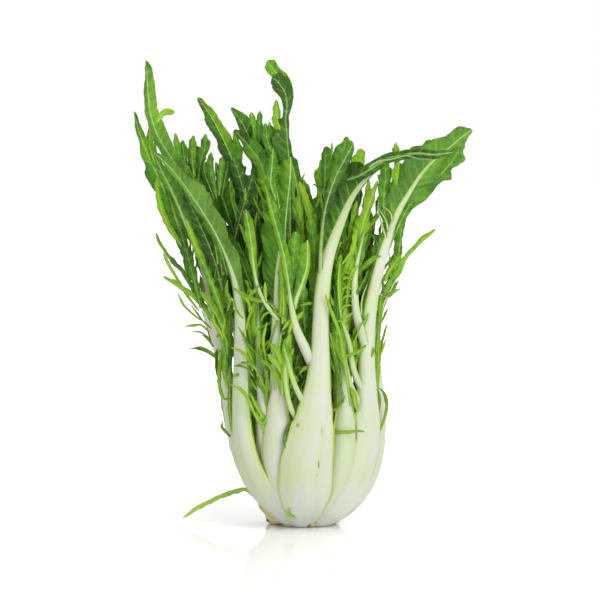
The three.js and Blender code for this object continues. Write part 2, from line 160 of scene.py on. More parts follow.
def makeLeafSkin(finish):
    paint = Paint(bpy.data.materials.new("leafSkin"))
    place = paint.place()
    height = paint.add("SeparateXYZ", None, {0: place}, 2)
    steps = paint.mark("leafMap")  # side veins passed, then mm past the rib's edge and across its middle
    past, across = steps.out(1), steps.out(2)
    tint = paint.mark("leafTone")  # brightness (own tone and painted light and shade), outer side, share of the way to the margin
    outer, margin = tint.out(1), tint.out(2)
    bladeGreen = paint.mark("leafGreen")  # how green the blade and the rib are, and how dull the leaf is
    ribGreen, dullness = bladeGreen.out(1), bladeGreen.out(2)
    ribShare = 1 - paint.ease(past, -0.4, 0.4)

    patches = paint.noise(place, finish["patchScale"], 3)
    mottle = paint.noise(place, finish["mottleScale"], 4, 0.6)
    crumple = paint.noise(place, finish["crumpleScale"], 2)
    vein = paint.triangle(steps + (mottle - 0.5) * 0.12)
    sideVeins = paint.ease(vein, 0.84, 0.98) * (1 - margin)
    netted = {"Vector": place, "Scale": finish["netScale"]}
    net = 1 - paint.ease(paint.add("TexVoronoi", {"feature": "DISTANCE_TO_EDGE"}, netted), 0.0, 0.08)

    # painted light and shade: each leaf's brightness, with random patches, picks from deep shaded greens
    # to bright lit greens
    depth = tint + (patches - 0.5) * 0.75 + (mottle - 0.5) * 0.4 - (1 - vein) * 0.12
    greens = [(0.0, finish["bladeDeep"]), (0.36, finish["bladeMid"]), (0.82, finish["bladeBright"])]
    fresh = paint.add("ValToRGB", {"stops": greens}, {0: depth})
    dull = paint.blend(depth, finish["underside"], finish["underLight"])
    blade = paint.blend(outer * dullness, fresh, dull)
    blade = paint.blend(sideVeins * 0.55 + net * 0.12, blade, finish["vein"])
    blade = paint.blend((1 - bladeGreen) * 0.85, blade, finish["lowBlade"])

    grainPlace = paint.add("CombineXYZ", None, {0: across * 0.9, 1: steps * 0.14, 2: tint * 9})
    grain = paint.noise(grainPlace, 1, 4, 0.6)
    streaks = paint.ease(paint.noise(grainPlace, 0.2, 2), 0.4, 0.75)
    tinged = streaks * 0.36 + paint.ease(patches, 0.4, 0.75) * 0.34
    rib = paint.blend(tinged, finish["ribLow"], finish["ribTinge"])
    paintedSideShade = paint.ease(across, 8, -16) * paint.ease(height, 0.015, 0.05)  # painted shade on the left side of each rib as seen from outside, kept off the base, which stays whitest
    rib = paint.blend(paintedSideShade * 0.45, rib, finish["ribTinge"])
    # whiter rib base: partly the rib's own blanched colour, partly painted light against the shade where
    # the base faces down
    rib = paint.blend((1 - paint.ease(height, 0.01, 0.05)) * 0.45, rib, finish["ribBaseAndPaintedLight"])
    rib = paint.blend(ribGreen, rib, paint.blend(0.5, blade, finish["ribHigh"]))
    rib = paint.blend(paint.ease(grain, 0.35, 0.8) * 0.24, rib, finish["ribTinge"])
    edged = paint.ease(past + (patches - 0.5) * 3, -2.4, -0.2) * (1 - ribGreen)
    rib = paint.blend(edged * 0.62, rib, finish["ribMargin"])
    spots = paint.bruise(place, finish["spots"]) * paint.ease(mottle, 0.3, 0.6)
    rib = paint.blend(spots * 0.8, rib, finish["speck"])

    bladeRelief = sideVeins * outer * 1.2 + net * 0.5 + mottle * 0.8 + crumple * 3.2
    relief = (grain * 0.5 + streaks * 0.6) * ribShare + bladeRelief * (1 - ribShare) * margin * 2
    bump = paint.relief(finish, relief)
    flesh = paint.add("BsdfPrincipled", None, {
        "Base Color": paint.blend(ribShare, blade, rib),
        "Roughness": finish["roughness"] + (mottle - 0.5) * 0.16 + (1 - ribShare) * 0.06,
        "Specular IOR Level": finish["shine"], "Normal": bump})
    glow = paint.add("BsdfTranslucent", None, {"Color": (*finish["glow"], 1), "Normal": bump})
    letThrough = (1 - ribShare) * (0.3 + bladeGreen * 0.7) * (0.6 + depth * 0.8) * finish["showThrough"]
    return paint.finish(paint.add("MixShader", None, {0: letThrough, 1: flesh, 2: glow}))


crownFinish = {
    "cut": (0.620, 0.500, 0.170), "rim": (0.075, 0.030, 0.010), "bark": (0.500, 0.400, 0.190),
    "pith": (0.660, 0.590, 0.330), "grainScale": 340, "blotScale": 130,  # per metre
    "roughness": 0.7, "relief": (0.6, 1.2 * mm),
}


def makeCrownSkin(finish):
    paint = Paint(bpy.data.materials.new("crownSkin"))
    place = paint.place()
    grain = paint.noise(place, finish["grainScale"], 5, 0.65)
    blots = paint.ease(paint.noise(place, finish["blotScale"], 3), 0.42, 0.7)
    cutShare = paint.mark("crownTone")  # the cut face, its brown rim and its growth rings
    rimShare, ringShare = cutShare.out(1), cutShare.out(2)
    flesh = paint.blend(blots * 0.7, finish["pith"], finish["bark"])
    cut = paint.blend(paint.ease(grain, 0.45, 0.8), finish["cut"], finish["pith"])
    cut = paint.blend(ringShare * 0.5 * blots, cut, finish["rim"])
    colour = paint.blend(cutShare, flesh, cut)
    colour = paint.blend(rimShare * (0.35 + blots * 0.65), colour, finish["rim"])
    wood = paint.add("BsdfPrincipled", None, {
        "Base Color": colour, "Roughness": finish["roughness"] + (grain - 0.5) * 0.3,
        "Normal": paint.relief(finish, grain + blots * 0.5)})
    return paint.finish(wood)


shootFinish = {
    "low": (0.760, 0.820, 0.600), "high": (0.330, 0.540, 0.110), "leaflet": (0.120, 0.330, 0.030),
    "blotchScale": 90, "roughness": 0.36, "relief": (0.3, 0.8 * mm),
}


def makeShootSkin(finish):
    paint = Paint(bpy.data.materials.new("shootSkin"))
    place = paint.place()
    height = paint.add("SeparateXYZ", None, {0: place}, 2)
    along = paint.mark("leafMap")  # mm up the shoot, past the rib's edge of a leaflet, and round or across
    blotch = paint.noise(place, finish["blotchScale"], 3)
    grain = paint.noise(paint.add("CombineXYZ", None, {0: along.out(2) * 1.2, 1: along * 0.03}), 1, 3)
    climb = paint.ease(height + (blotch - 0.5) * 0.05, 0.06, 0.16)
    colour = paint.blend(climb, finish["low"], finish["high"])
    colour = paint.blend(paint.ease(grain, 0.45, 0.75) * 0.3, colour, finish["low"])
    leafy = paint.ease(along.out(1), -0.4, 0.4)
    colour = paint.blend(leafy * (0.5 + blotch * 0.5), colour, finish["leaflet"])
    skin = paint.add("BsdfPrincipled", None, {
        "Base Color": colour, "Roughness": finish["roughness"] + (blotch - 0.5) * 0.15,
        "Normal": paint.relief(finish, blotch + grain * 0.5)})
    return paint.finish(skin)


leafHabit = {
    "ribDepth": 4.5, "ribFlatness": 0.45, "cup": 60,  # a rib's greatest depth, depth to half width, curve
    "crease": (0.4, 0.0),  # where a groove runs across the rib, and its depth
    "bladeHalf": 0.22, "bladeThin": 0.1,  # half the blade's thickness: lost outward, and left
    "fold": ((14, 22), (6, 14)),  # how far each half closes towards the heart, from base to tip
    "ruffle": 2.6, "ruffleLength": 22, "lift": 4, "quilt": 0.7, "crinkle": 0.9,
    "veinGap": 8.5, "sweep": 40,  # the side veins lean towards the tip
    "lobeGap": 24, "lobeDepth": 0.68, "lobeSharp": 1.2, "tooth": 0.25, "toothGap": 6.5,
    "broad": 1, "lip": 1.0,  # times the stations' reach, and what is added to it
    "tint": 0.3, "halves": (0.0, 0.0), "dull": 0.25,  # own tone and painted light and shade, painted light and shade on each half, a dull outer side
    "greenFrom": (165, 310), "bladeGreenFrom": (70, 165),  # heights where the rib and the blade turn green
    "greenLeast": 0, "greenMost": 0.9,
    "faces": (-90, -90), "twist": (0, 0),
    "rowGap": 1.2, "bareGap": 3.2, "ribColumns": 9, "bladeColumns": 7,
    "branches": (), "strands": (), "stems": (0, 0, 0), "sprouts": (), "frills": (),
}
branchHabit = {
    "lobeGap": 15, "lobeDepth": 0.4, "ruffle": 1.4, "ruffleLength": 15, "lift": 2, "quilt": 0.3,
    "crinkle": 0.5, "tooth": 0.2, "lip": 0.25, "tint": 0.6,
    "rowGap": 1.5, "bareGap": 2.4, "ribColumns": 5, "bladeColumns": 4,
}
strandHabit = branchHabit | {
    "lobeGap": 11, "lobeDepth": 0.35, "fold": ((20, 25), (5, 10)), "bladeHalf": 0.3,
    "greenFrom": (-90, 10), "bladeGreenFrom": (-90, 10), "greenMost": 0.95,
    "rowGap": 1.8, "bladeColumns": 3,
}
innerHabit = {  # leaves that stand inside the head are green almost from the base
    "stems": (2, 0.3, 0.45), "sprouts": [(8, 3, 7, (18, 38), (1.4, 2.8))],
    "greenFrom": (40, 110), "greenMost": 0.97, "broad": 1.2,
}
sproutHabit = strandHabit | {"ribColumns": 3, "bladeColumns": 2, "rowGap": 2.1, "bareGap": 2.1}
leafletOutline = ([0, 0.15, 0.4, 0.7, 0.88, 1], [0.18, 0.45, 0.85, 1.05, 0.95, 0.5])
sproutOutline = ([0, 0.2, 0.5, 0.75, 1], [0.3, 0.75, 1, 0.8, 0.1])
leastHeight = 0.3  # nothing comes nearer to the floor


def catmullRom(stations, steps=20):  # a smooth line through rows of numbers
    knots = np.array([row + [0] * (6 - len(row)) for row in map(list, stations)], float)
    knots = np.vstack([2 * knots[0] - knots[1], knots, 2 * knots[-1] - knots[-2]])
    t = np.linspace(0, 1, steps, endpoint=False)[:, None]
    spans = []
    for a, b, c, d in zip(knots, knots[1:], knots[2:], knots[3:]):
        spans.append(b + 0.5 * ((c - a) * t + (2 * a - 5 * b + 4 * c - d) * t**2
                                + (3 * b - a - 3 * c + d) * t**3))
    spans.append(knots[-2][None])
    return np.vstack(spans)


def unit(vectors):
    return vectors / np.linalg.norm(vectors, axis=-1, keepdims=True)


def ease(values, low, high):
    share = np.clip((values - low) / (high - low), 0, 1)
    return share * share * (3 - 2 * share)


def wander(arc, gap, seed):  # smooth noise from -1 to 1 with a knot every gap
    first = arc.min() - gap
    knots = seed.uniform(-1, 1, int((arc.max() - first) / gap) + 4)
    place = (arc - first) / gap
    below = np.floor(place).astype(int)
    return knots[below] + (knots[below + 1] - knots[below]) * ease(place - below, 0, 1)


def overLength(share, values):  # a habit given from base to tip, read at each share of the length
    return np.interp(share, np.linspace(0, 1, len(values)), values)


def azimuthOf(way):
    return math.degrees(math.atan2(way[1], way[0]))


def skinCorners(count, around):  # quads over closed rings of points, and a cap at each end
    corner = np.arange(count * around).reshape(count, around)
    beside = np.roll(corner, -1, axis=1)
    quads = np.stack([corner[:-1], beside[:-1], beside[1:], corner[1:]], 2).reshape(-1, 4)
    return {"quads": quads, "caps": [corner[0][::-1].tolist(), corner[-1].tolist()]}


class Midrib:  # the line a leaf grows along, with its ways across and outward
    def __init__(self, stations, habit):
        line = catmullRom(stations)
        place = line[:, :3]
        step = np.linalg.norm(np.diff(place, axis=0), axis=1)
        self.arc = np.concatenate([[0], np.cumsum(step)])
        self.length = self.arc[-1]
        self.station = np.linspace(0, len(stations) - 1, len(line))
        share = self.station / self.station[-1]
        self.rib = np.maximum(line[:, 3], 0.25)
        self.reach = np.maximum(line[:, 4:6], 0)

        tangent = unit(np.gradient(place, self.arc, axis=0))
        azimuth = np.radians(overLength(share, habit["faces"]))
        outward = np.stack([np.cos(azimuth), np.sin(azimuth), np.full_like(azimuth, -0.5)], 1)
        outward = unit(outward - tangent * (outward * tangent).sum(1, keepdims=True))
        across = np.cross(tangent, outward)
        twist = np.radians(overLength(share, habit["twist"]))[:, None]
        self.across = across * np.cos(twist) + outward * np.sin(twist)
        self.outward = outward * np.cos(twist) - across * np.sin(twist)
        self.tangent = tangent
        self.place = place

        opened = np.clip(self.reach.sum(1) / 3, 0, 1)
        perMm = opened / habit["rowGap"] + (1 - opened) / habit["bareGap"]
        count = np.concatenate([[0], np.cumsum(step * (perMm[1:] + perMm[:-1]) / 2)])
        self.rows = np.interp(np.linspace(0, count[-1], max(round(count[-1]), 6)), count, self.arc)

    def read(self, arc, values):
        flat = np.stack([np.interp(arc.ravel(), self.arc, column) for column in values.T], 1)
        return flat.reshape(*arc.shape, -1)

    def put(self, arc, across, outward):  # places given along, across and out of the leaf
        ahead = self.tangent[-1] * np.maximum(arc - self.length, 0)[..., None]
        point = self.read(arc, self.place) + ahead
        return (point + self.read(arc, self.across) * across[..., None]
                + self.read(arc, self.outward) * outward[..., None])

    def edge(self, at, side, habit):  # where a side shoot leaves the rib, and the ways from there
        here = np.array([at])
        rib = np.interp(at, self.arc, self.rib)
        dip = rib**2 / (2 * habit["cup"]) * 0.6
        start = self.put(here, np.array([side * rib * 0.75]), np.array([-dip]))[0]
        return start, *(self.read(here, part)[0] for part in (self.tangent, self.across, self.outward))


def lobedMargin(arc, habit, seed):  # share of the blade's full reach, along one margin
    gap = habit["lobeGap"]
    edges = np.arange(arc.min() - gap, arc.max() + 3 * gap, gap)
    edges = edges + seed.uniform(-0.38, 0.38, len(edges)) * gap
    sizes = seed.uniform(0.4, 1.2, len(edges))
    k = np.clip(np.searchsorted(edges, arc), 1, len(edges) - 1)
    phase = (arc - edges[k - 1]) / (edges[k] - edges[k - 1])
    peak = np.where(phase < 0.64, ease(phase, -0.1, 0.64), ease(1 - phase, 0, 0.36)) ** habit["lobeSharp"]
    return 1 - habit["lobeDepth"] + habit["lobeDepth"] * peak * sizes[k]


class LeafSection:  # a leaf's columns. Each is along, across, out, thickness above and below, past, margin
    def __init__(self, midrib, habit, seed):
        self.midrib, self.habit, self.seed = midrib, habit, seed
        self.rows = midrib.rows
        self.toTip = midrib.length - midrib.rows
        self.rib = np.interp(self.rows, midrib.arc, midrib.rib)
        self.veined = self.rows + habit["veinGap"] * 0.7 * wander(self.rows, 26, seed)  # uneven side veins

    def bladeReach(self, side):
        rows, habit = self.rows, self.habit
        full = np.interp(rows, self.midrib.arc, self.midrib.reach[:, side]) * habit["broad"]
        full = full * lobedMargin(rows, habit, self.seed)
        teeth = abs((rows / habit["toothGap"] + 0.3 * side) % 1 - 0.5) * 2
        full = full + habit["tooth"] * teeth * np.clip(full / 6, 0, 1)
        ending = np.clip(self.toTip / 7, 0, 1) ** 0.5  # the tip is round
        return (full + habit["lip"] * (1 + 0.7 * wander(rows, 7, self.seed))) * ending

    def blade(self, side):  # one half's columns, from the rib outward
        rows, rib, habit, seed = self.rows, self.rib, self.habit, self.seed
        full = self.bladeReach(side)
        wave = np.sin(2 * math.pi * rows / habit["ruffleLength"] + seed.uniform(0, 6.3)
                      + 1.8 * wander(rows, 40, seed))
        lift = wander(rows, habit["lobeGap"] * 0.9, seed) * habit["lift"]
        size = np.clip(full / 14, 0, 1.4)
        quilt = abs(np.sin(math.pi * self.veined / habit["veinGap"])) * habit["quilt"]
        fold = np.radians(overLength(rows / self.midrib.length, habit["fold"][side]))
        sweep = math.radians(habit["sweep"])
        bumps = seed.uniform((0.7, -0.9, 0), (1.2, 0.9, 6.3), (4, 3))  # small waves: two ways and a start
        columns = []
        for part in [*np.linspace(0, 0.93, habit["bladeColumns"])[1:], 1]:
            out = full * part
            offset = -rib**2 / (2 * habit["cup"]) - out * np.sin(fold)
            offset += (wave * habit["ruffle"] * part**1.5 + lift * part**2) * size
            offset += quilt * 4 * part * (1 - part) * size
            crinkles = sum(np.sin(a * rows + b * out + start) for a, b, start in bumps)
            offset += crinkles * habit["crinkle"] * 0.25 * min(2 * part, 1) * np.minimum(size * 2, 1)
            across = (1 if side else -1) * (rib + out * math.cos(sweep) * np.cos(fold))
            half = habit["bladeHalf"] * (1 - part) + habit["bladeThin"] if part < 1 else 0
            half = half + 0 * out
            columns.append((rows + out * math.sin(sweep), across, offset, half, half, out, part + 0 * out))
        return columns

    def ribs(self):  # the rib's columns, from left to right
        rows, rib, habit = self.rows, self.rib, self.habit
        tapered = np.clip(self.toTip / 25, 0.15, 1)
        depth = np.minimum(habit["ribDepth"], habit["ribFlatness"] * rib) * tapered
        roundness = np.interp(rib, [3, 14], [0.55, 0.95])
        creaseAt, creaseDepth = habit["crease"]
        base = habit["bladeHalf"] + habit["bladeThin"]
        columns = []
        for part in np.sin(np.linspace(-1, 1, habit["ribColumns"]) * math.pi / 2):
            swell = max(1 - part**2, 0) ** roundness
            channel = 1 - 0.45 * max(1 - (part * 1.6) ** 2, 0)  # down the side that faces the heart
            dent = creaseDepth * math.exp(-((part - creaseAt) / 0.2) ** 2) * ease(150 - rows, 0, 90)
            columns.append((rows, part * rib, -(part * rib) ** 2 / (2 * habit["cup"]),
                            base + depth * swell - dent, base + 0.72 * depth * swell * channel,
                            -(1 - abs(part)) * rib, 0 * rows))
        return columns


def growShell(stations, habit, seed):  # one closed leaf: points, quads, caps and what the skin reads
    midrib = Midrib(stations, habit)
    section = LeafSection(midrib, habit, seed)
    columns = section.blade(0)[::-1] + section.ribs() + section.blade(1)
    along, across, offset, top, under, past, margin = (np.stack(part, 1) for part in zip(*columns))
    inside = slice(-2, 0, -1)  # the inner side without its margins, from right to left

    def ring(outer, inner):
        return np.concatenate([outer, inner[:, inside]], 1)

    points = ring(midrib.put(along, across, offset + top), midrib.put(along, across, offset - under))
    height = np.maximum(points[..., 2], leastHeight)
    points[..., 2] = height
    # painted light and shade: one half of each leaf is made lighter and the other darker
    left, right = habit["halves"]
    # each leaf's brightness: partly its own tone, partly painted light and shade for where it sits
    tint = habit["tint"] + 0.16 * wander(midrib.rows, 30, seed)[:, None]
    tint = np.clip(tint + np.where(across < 0, left, right), 0, 1)
    steps = section.veined[:, None] / habit["veinGap"] + 0 * along
    # a least share of green on the rib: its own green on some leaves, painted shade on the left leaf's rib
    ribGreen = np.maximum(ease(height, *habit["greenFrom"]) * habit["greenMost"], habit["greenLeast"])
    bladeGreen = ease(height, *habit["bladeGreenFrom"])
    marks = {
        "leafMap": (ring(steps, steps), ring(past, past), ring(across, across)),
        "leafTone": (ring(tint, tint), ring(1 + 0 * along, 0 * along), ring(margin, margin)),
        "leafGreen": (bladeGreen, ribGreen, habit["dull"] + 0 * height),
    }
    shell = {"points": points.reshape(-1, 3)} | skinCorners(*points.shape[:2])
    return midrib, shell | {name: np.stack(parts, 2).reshape(-1, 3) for name, parts in marks.items()}


frontSight = {"distance": 2200, "level": 185, "slope": 0.052}  # strands are laid out as seen from here


def fromFront(x, z, y):  # the place at depth y that shows at x and z
    nearer = 1 + y / frontSight["distance"]
    level = frontSight["level"]
    return x * nearer, y, level + (z - level) * nearer - y * frontSight["slope"]


def strandStations(strand):  # a leaflet, or a bare side stem
    tint, half, rib, (near, far), line = strand
    stations = []
    for index, (x, z) in enumerate(line):
        share = index / (len(line) - 1)
        reach = half * np.interp(share, *leafletOutline)
        place = fromFront(x, z, near + (far - near) * share)
        stations.append((*place, rib * (0.8 - 0.6 * share), reach, reach))
    return stations


def sproutStations(start, heading, length, width, seed):  # a thin leaflet that turns up as it grows
    side = unit(np.cross(heading, seed.normal(size=3)))
    bend = seed.uniform(-0.1, 0.45)
    hook = seed.uniform(-0.5, 0.5)
    point = np.array(start)
    stations = []
    for share in np.linspace(0, 1, 8):
        blade = width * np.interp(share, *sproutOutline)
        stations.append([*point, 0.65 - 0.4 * share, blade, blade * seed.uniform(0.6, 1.2)])
        turn = side * (bend * (0.5 - share) + hook * max(share - 0.6, 0))
        heading = unit(heading + turn + np.array([0, 0, 0.24 * (1 - share)]))
        point = point + heading * length / 7
    return stations


def frillStations(box, seed):  # a short curled leaflet somewhere in a box seen from the front
    left, right, low, high, near, far = box
    x = seed.uniform(left, right)
    z = seed.uniform(low, high)
    depth = seed.uniform(near, far)
    lean = math.radians(seed.uniform(-50, 50))
    bend = math.radians(seed.uniform(-32, 32))
    step = seed.uniform(3.5, 7.5)
    line = [(x, z)]
    for _ in range(4):
        x += step * math.sin(lean)
        z += step * math.cos(lean)
        line.append((x, z))
        lean += bend
    return strandStations((0, seed.uniform(1.3, 3), 0.5, (depth, depth + seed.uniform(-4, 2)), line))


def stemStations(start, heading, upward, length, rib, blade, seed):  # a pale side stem with its own blade
    point = np.array(start)
    stations = []
    for share in np.linspace(0, 1, 9):
        reach = blade * float(ease(share, 0.35, 0.6)) * (1 - float(ease(share, 0.8, 1.02)))
        stations.append([*point, rib * (1 - 0.75 * share), reach, reach * seed.uniform(0.7, 1.1)])
        heading = unit(heading * 0.75 + upward * 0.4 + seed.normal(size=3) * 0.08)
        point = point + heading * length / 8
    return stations


def joinShells(name, shells, skin, marks=("leafMap", "leafTone", "leafGreen")):
    start = np.cumsum([0] + [len(shell["points"]) for shell in shells])
    faces = []
    for first, shell in zip(start, shells):
        faces += (shell["quads"] + first).tolist()
        faces += [[corner + int(first) for corner in cap] for cap in shell["caps"]]
    mesh = bpy.data.meshes.new(name)
    mesh.from_pydata(np.concatenate([shell["points"] for shell in shells]) * mm, [], faces)
    for mark in marks:
        values = np.concatenate([shell[mark] for shell in shells]).astype(np.float32)
        mesh.attributes.new(mark, "FLOAT_VECTOR", "POINT").data.foreach_set("vector", values.ravel())
    mesh.shade_smooth()
    mesh.materials.append(skin)
    piece = bpy.data.objects.new(name, mesh)
    stage.collection.objects.link(piece)
    return piece


def standFor(piece, node):
    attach(piece, "root")
    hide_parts(node)


def growStems(midrib, habit, seed):  # pale side stems along both edges of the rib
    shells = []
    stemCount, lowest, highest = habit["stems"]
    for index in range(stemCount):
        side = 1 if index % 2 else -1
        at = midrib.length * (lowest + (highest - lowest) * (index + seed.uniform(0, 1)) / stemCount)
        start, tangent, across, outward = midrib.edge(at, side, habit)
        heading = tangent + across * side * seed.uniform(0.5, 0.9) + outward * seed.uniform(-0.2, 0.5)
        own = leafHabit | branchHabit | {"tint": seed.uniform(0.3, 0.8), "lobeDepth": 0.6, "lobeGap": 13}
        own["faces"] = (azimuthOf(outward) + seed.uniform(-30, 30),) * 2
        own["greenFrom"] = (start[2] + 5, start[2] + 60)
        length = seed.uniform(45, 95)
        rib = seed.uniform(1.6, 2.6)
        blade = seed.uniform(4, 8)
        stations = stemStations(start, unit(heading), tangent, length, rib, blade, seed)
        shells.append(growShell(stations, own, seed)[1])
    return shells


def growSprouts(midrib, habit, seed):  # small leaflets along both edges, between two stations
    shells = []
    for count, low, high, lengths, widths in habit["sprouts"]:
        for index in range(count):
            side = 1 if index % 2 else -1
            at = np.interp(seed.uniform(low, high), midrib.station, midrib.arc)
            start, tangent, across, outward = midrib.edge(at, side, habit)
            heading = unit(tangent * seed.uniform(0.3, 1) + across * side * seed.uniform(0.3, 1.0)
                           + outward * seed.uniform(-0.3, 0.6))
            stations = sproutStations(start, heading, seed.uniform(*lengths), seed.uniform(*widths), seed)
            facing = azimuthOf(outward) + seed.uniform(-70, 70)
            own = leafHabit | sproutHabit | {"faces": (facing, facing), "tint": seed.uniform(0.3, 1.0)}
            shells.append(growShell(stations, own, seed)[1])
    return shells


def growLeaf(node, leaf, skin, number):
    habit = leafHabit | leaf
    seed = np.random.default_rng(number)
    midrib, shell = growShell(habit["stations"], habit, seed)
    shells = [shell]
    for branch in habit["branches"]:
        own = leafHabit | {"faces": (habit["faces"][-1],) * 2} | branchHabit | branch
        shells.append(growShell(own["stations"], own, seed)[1])
    for strand in habit["strands"]:
        facing = -90 + seed.uniform(-35, 35)
        own = leafHabit | strandHabit | {"faces": (facing, facing), "tint": strand[0]}
        if strand[1] == 0:  # a bare stem is pale
            own["greenFrom"] = (140, 380)
        shells.append(growShell(strandStations(strand), own, seed)[1])
    shells += growStems(midrib, habit, seed) + growSprouts(midrib, habit, seed)
    for count, (least, most), box in habit["frills"]:
        for _ in range(count):
            facing = -90 + seed.uniform(-60, 60)
            own = leafHabit | strandHabit | {"faces": (facing, facing), "tint": seed.uniform(least, most)}
            shells.append(growShell(frillStations(box, seed), own, seed)[1])
    piece = joinShells(node + "_grown", shells, skin)
    standFor(piece, node)




# A station is x, y, z, the rib's half width, and the blade's reach past the rib on the left and right,
# as seen from outside. faces is the azimuth the outer side looks to, from base to tip.
# A strand is its brightness (own tone and painted light and shade), half width (0 for a bare stem),
# stem, depth y at base and tip, and x, z points as they show from the front.
# Stems are how many, and the shares of the length that they leave between.
# Sprouts are how many, the stations that they leave between, then the range of length and of width.
# Frills are how many, the range of brightness, and a box: x from and to, z from and to, y from and to.

leafSkin = makeLeafSkin(leafFinish)

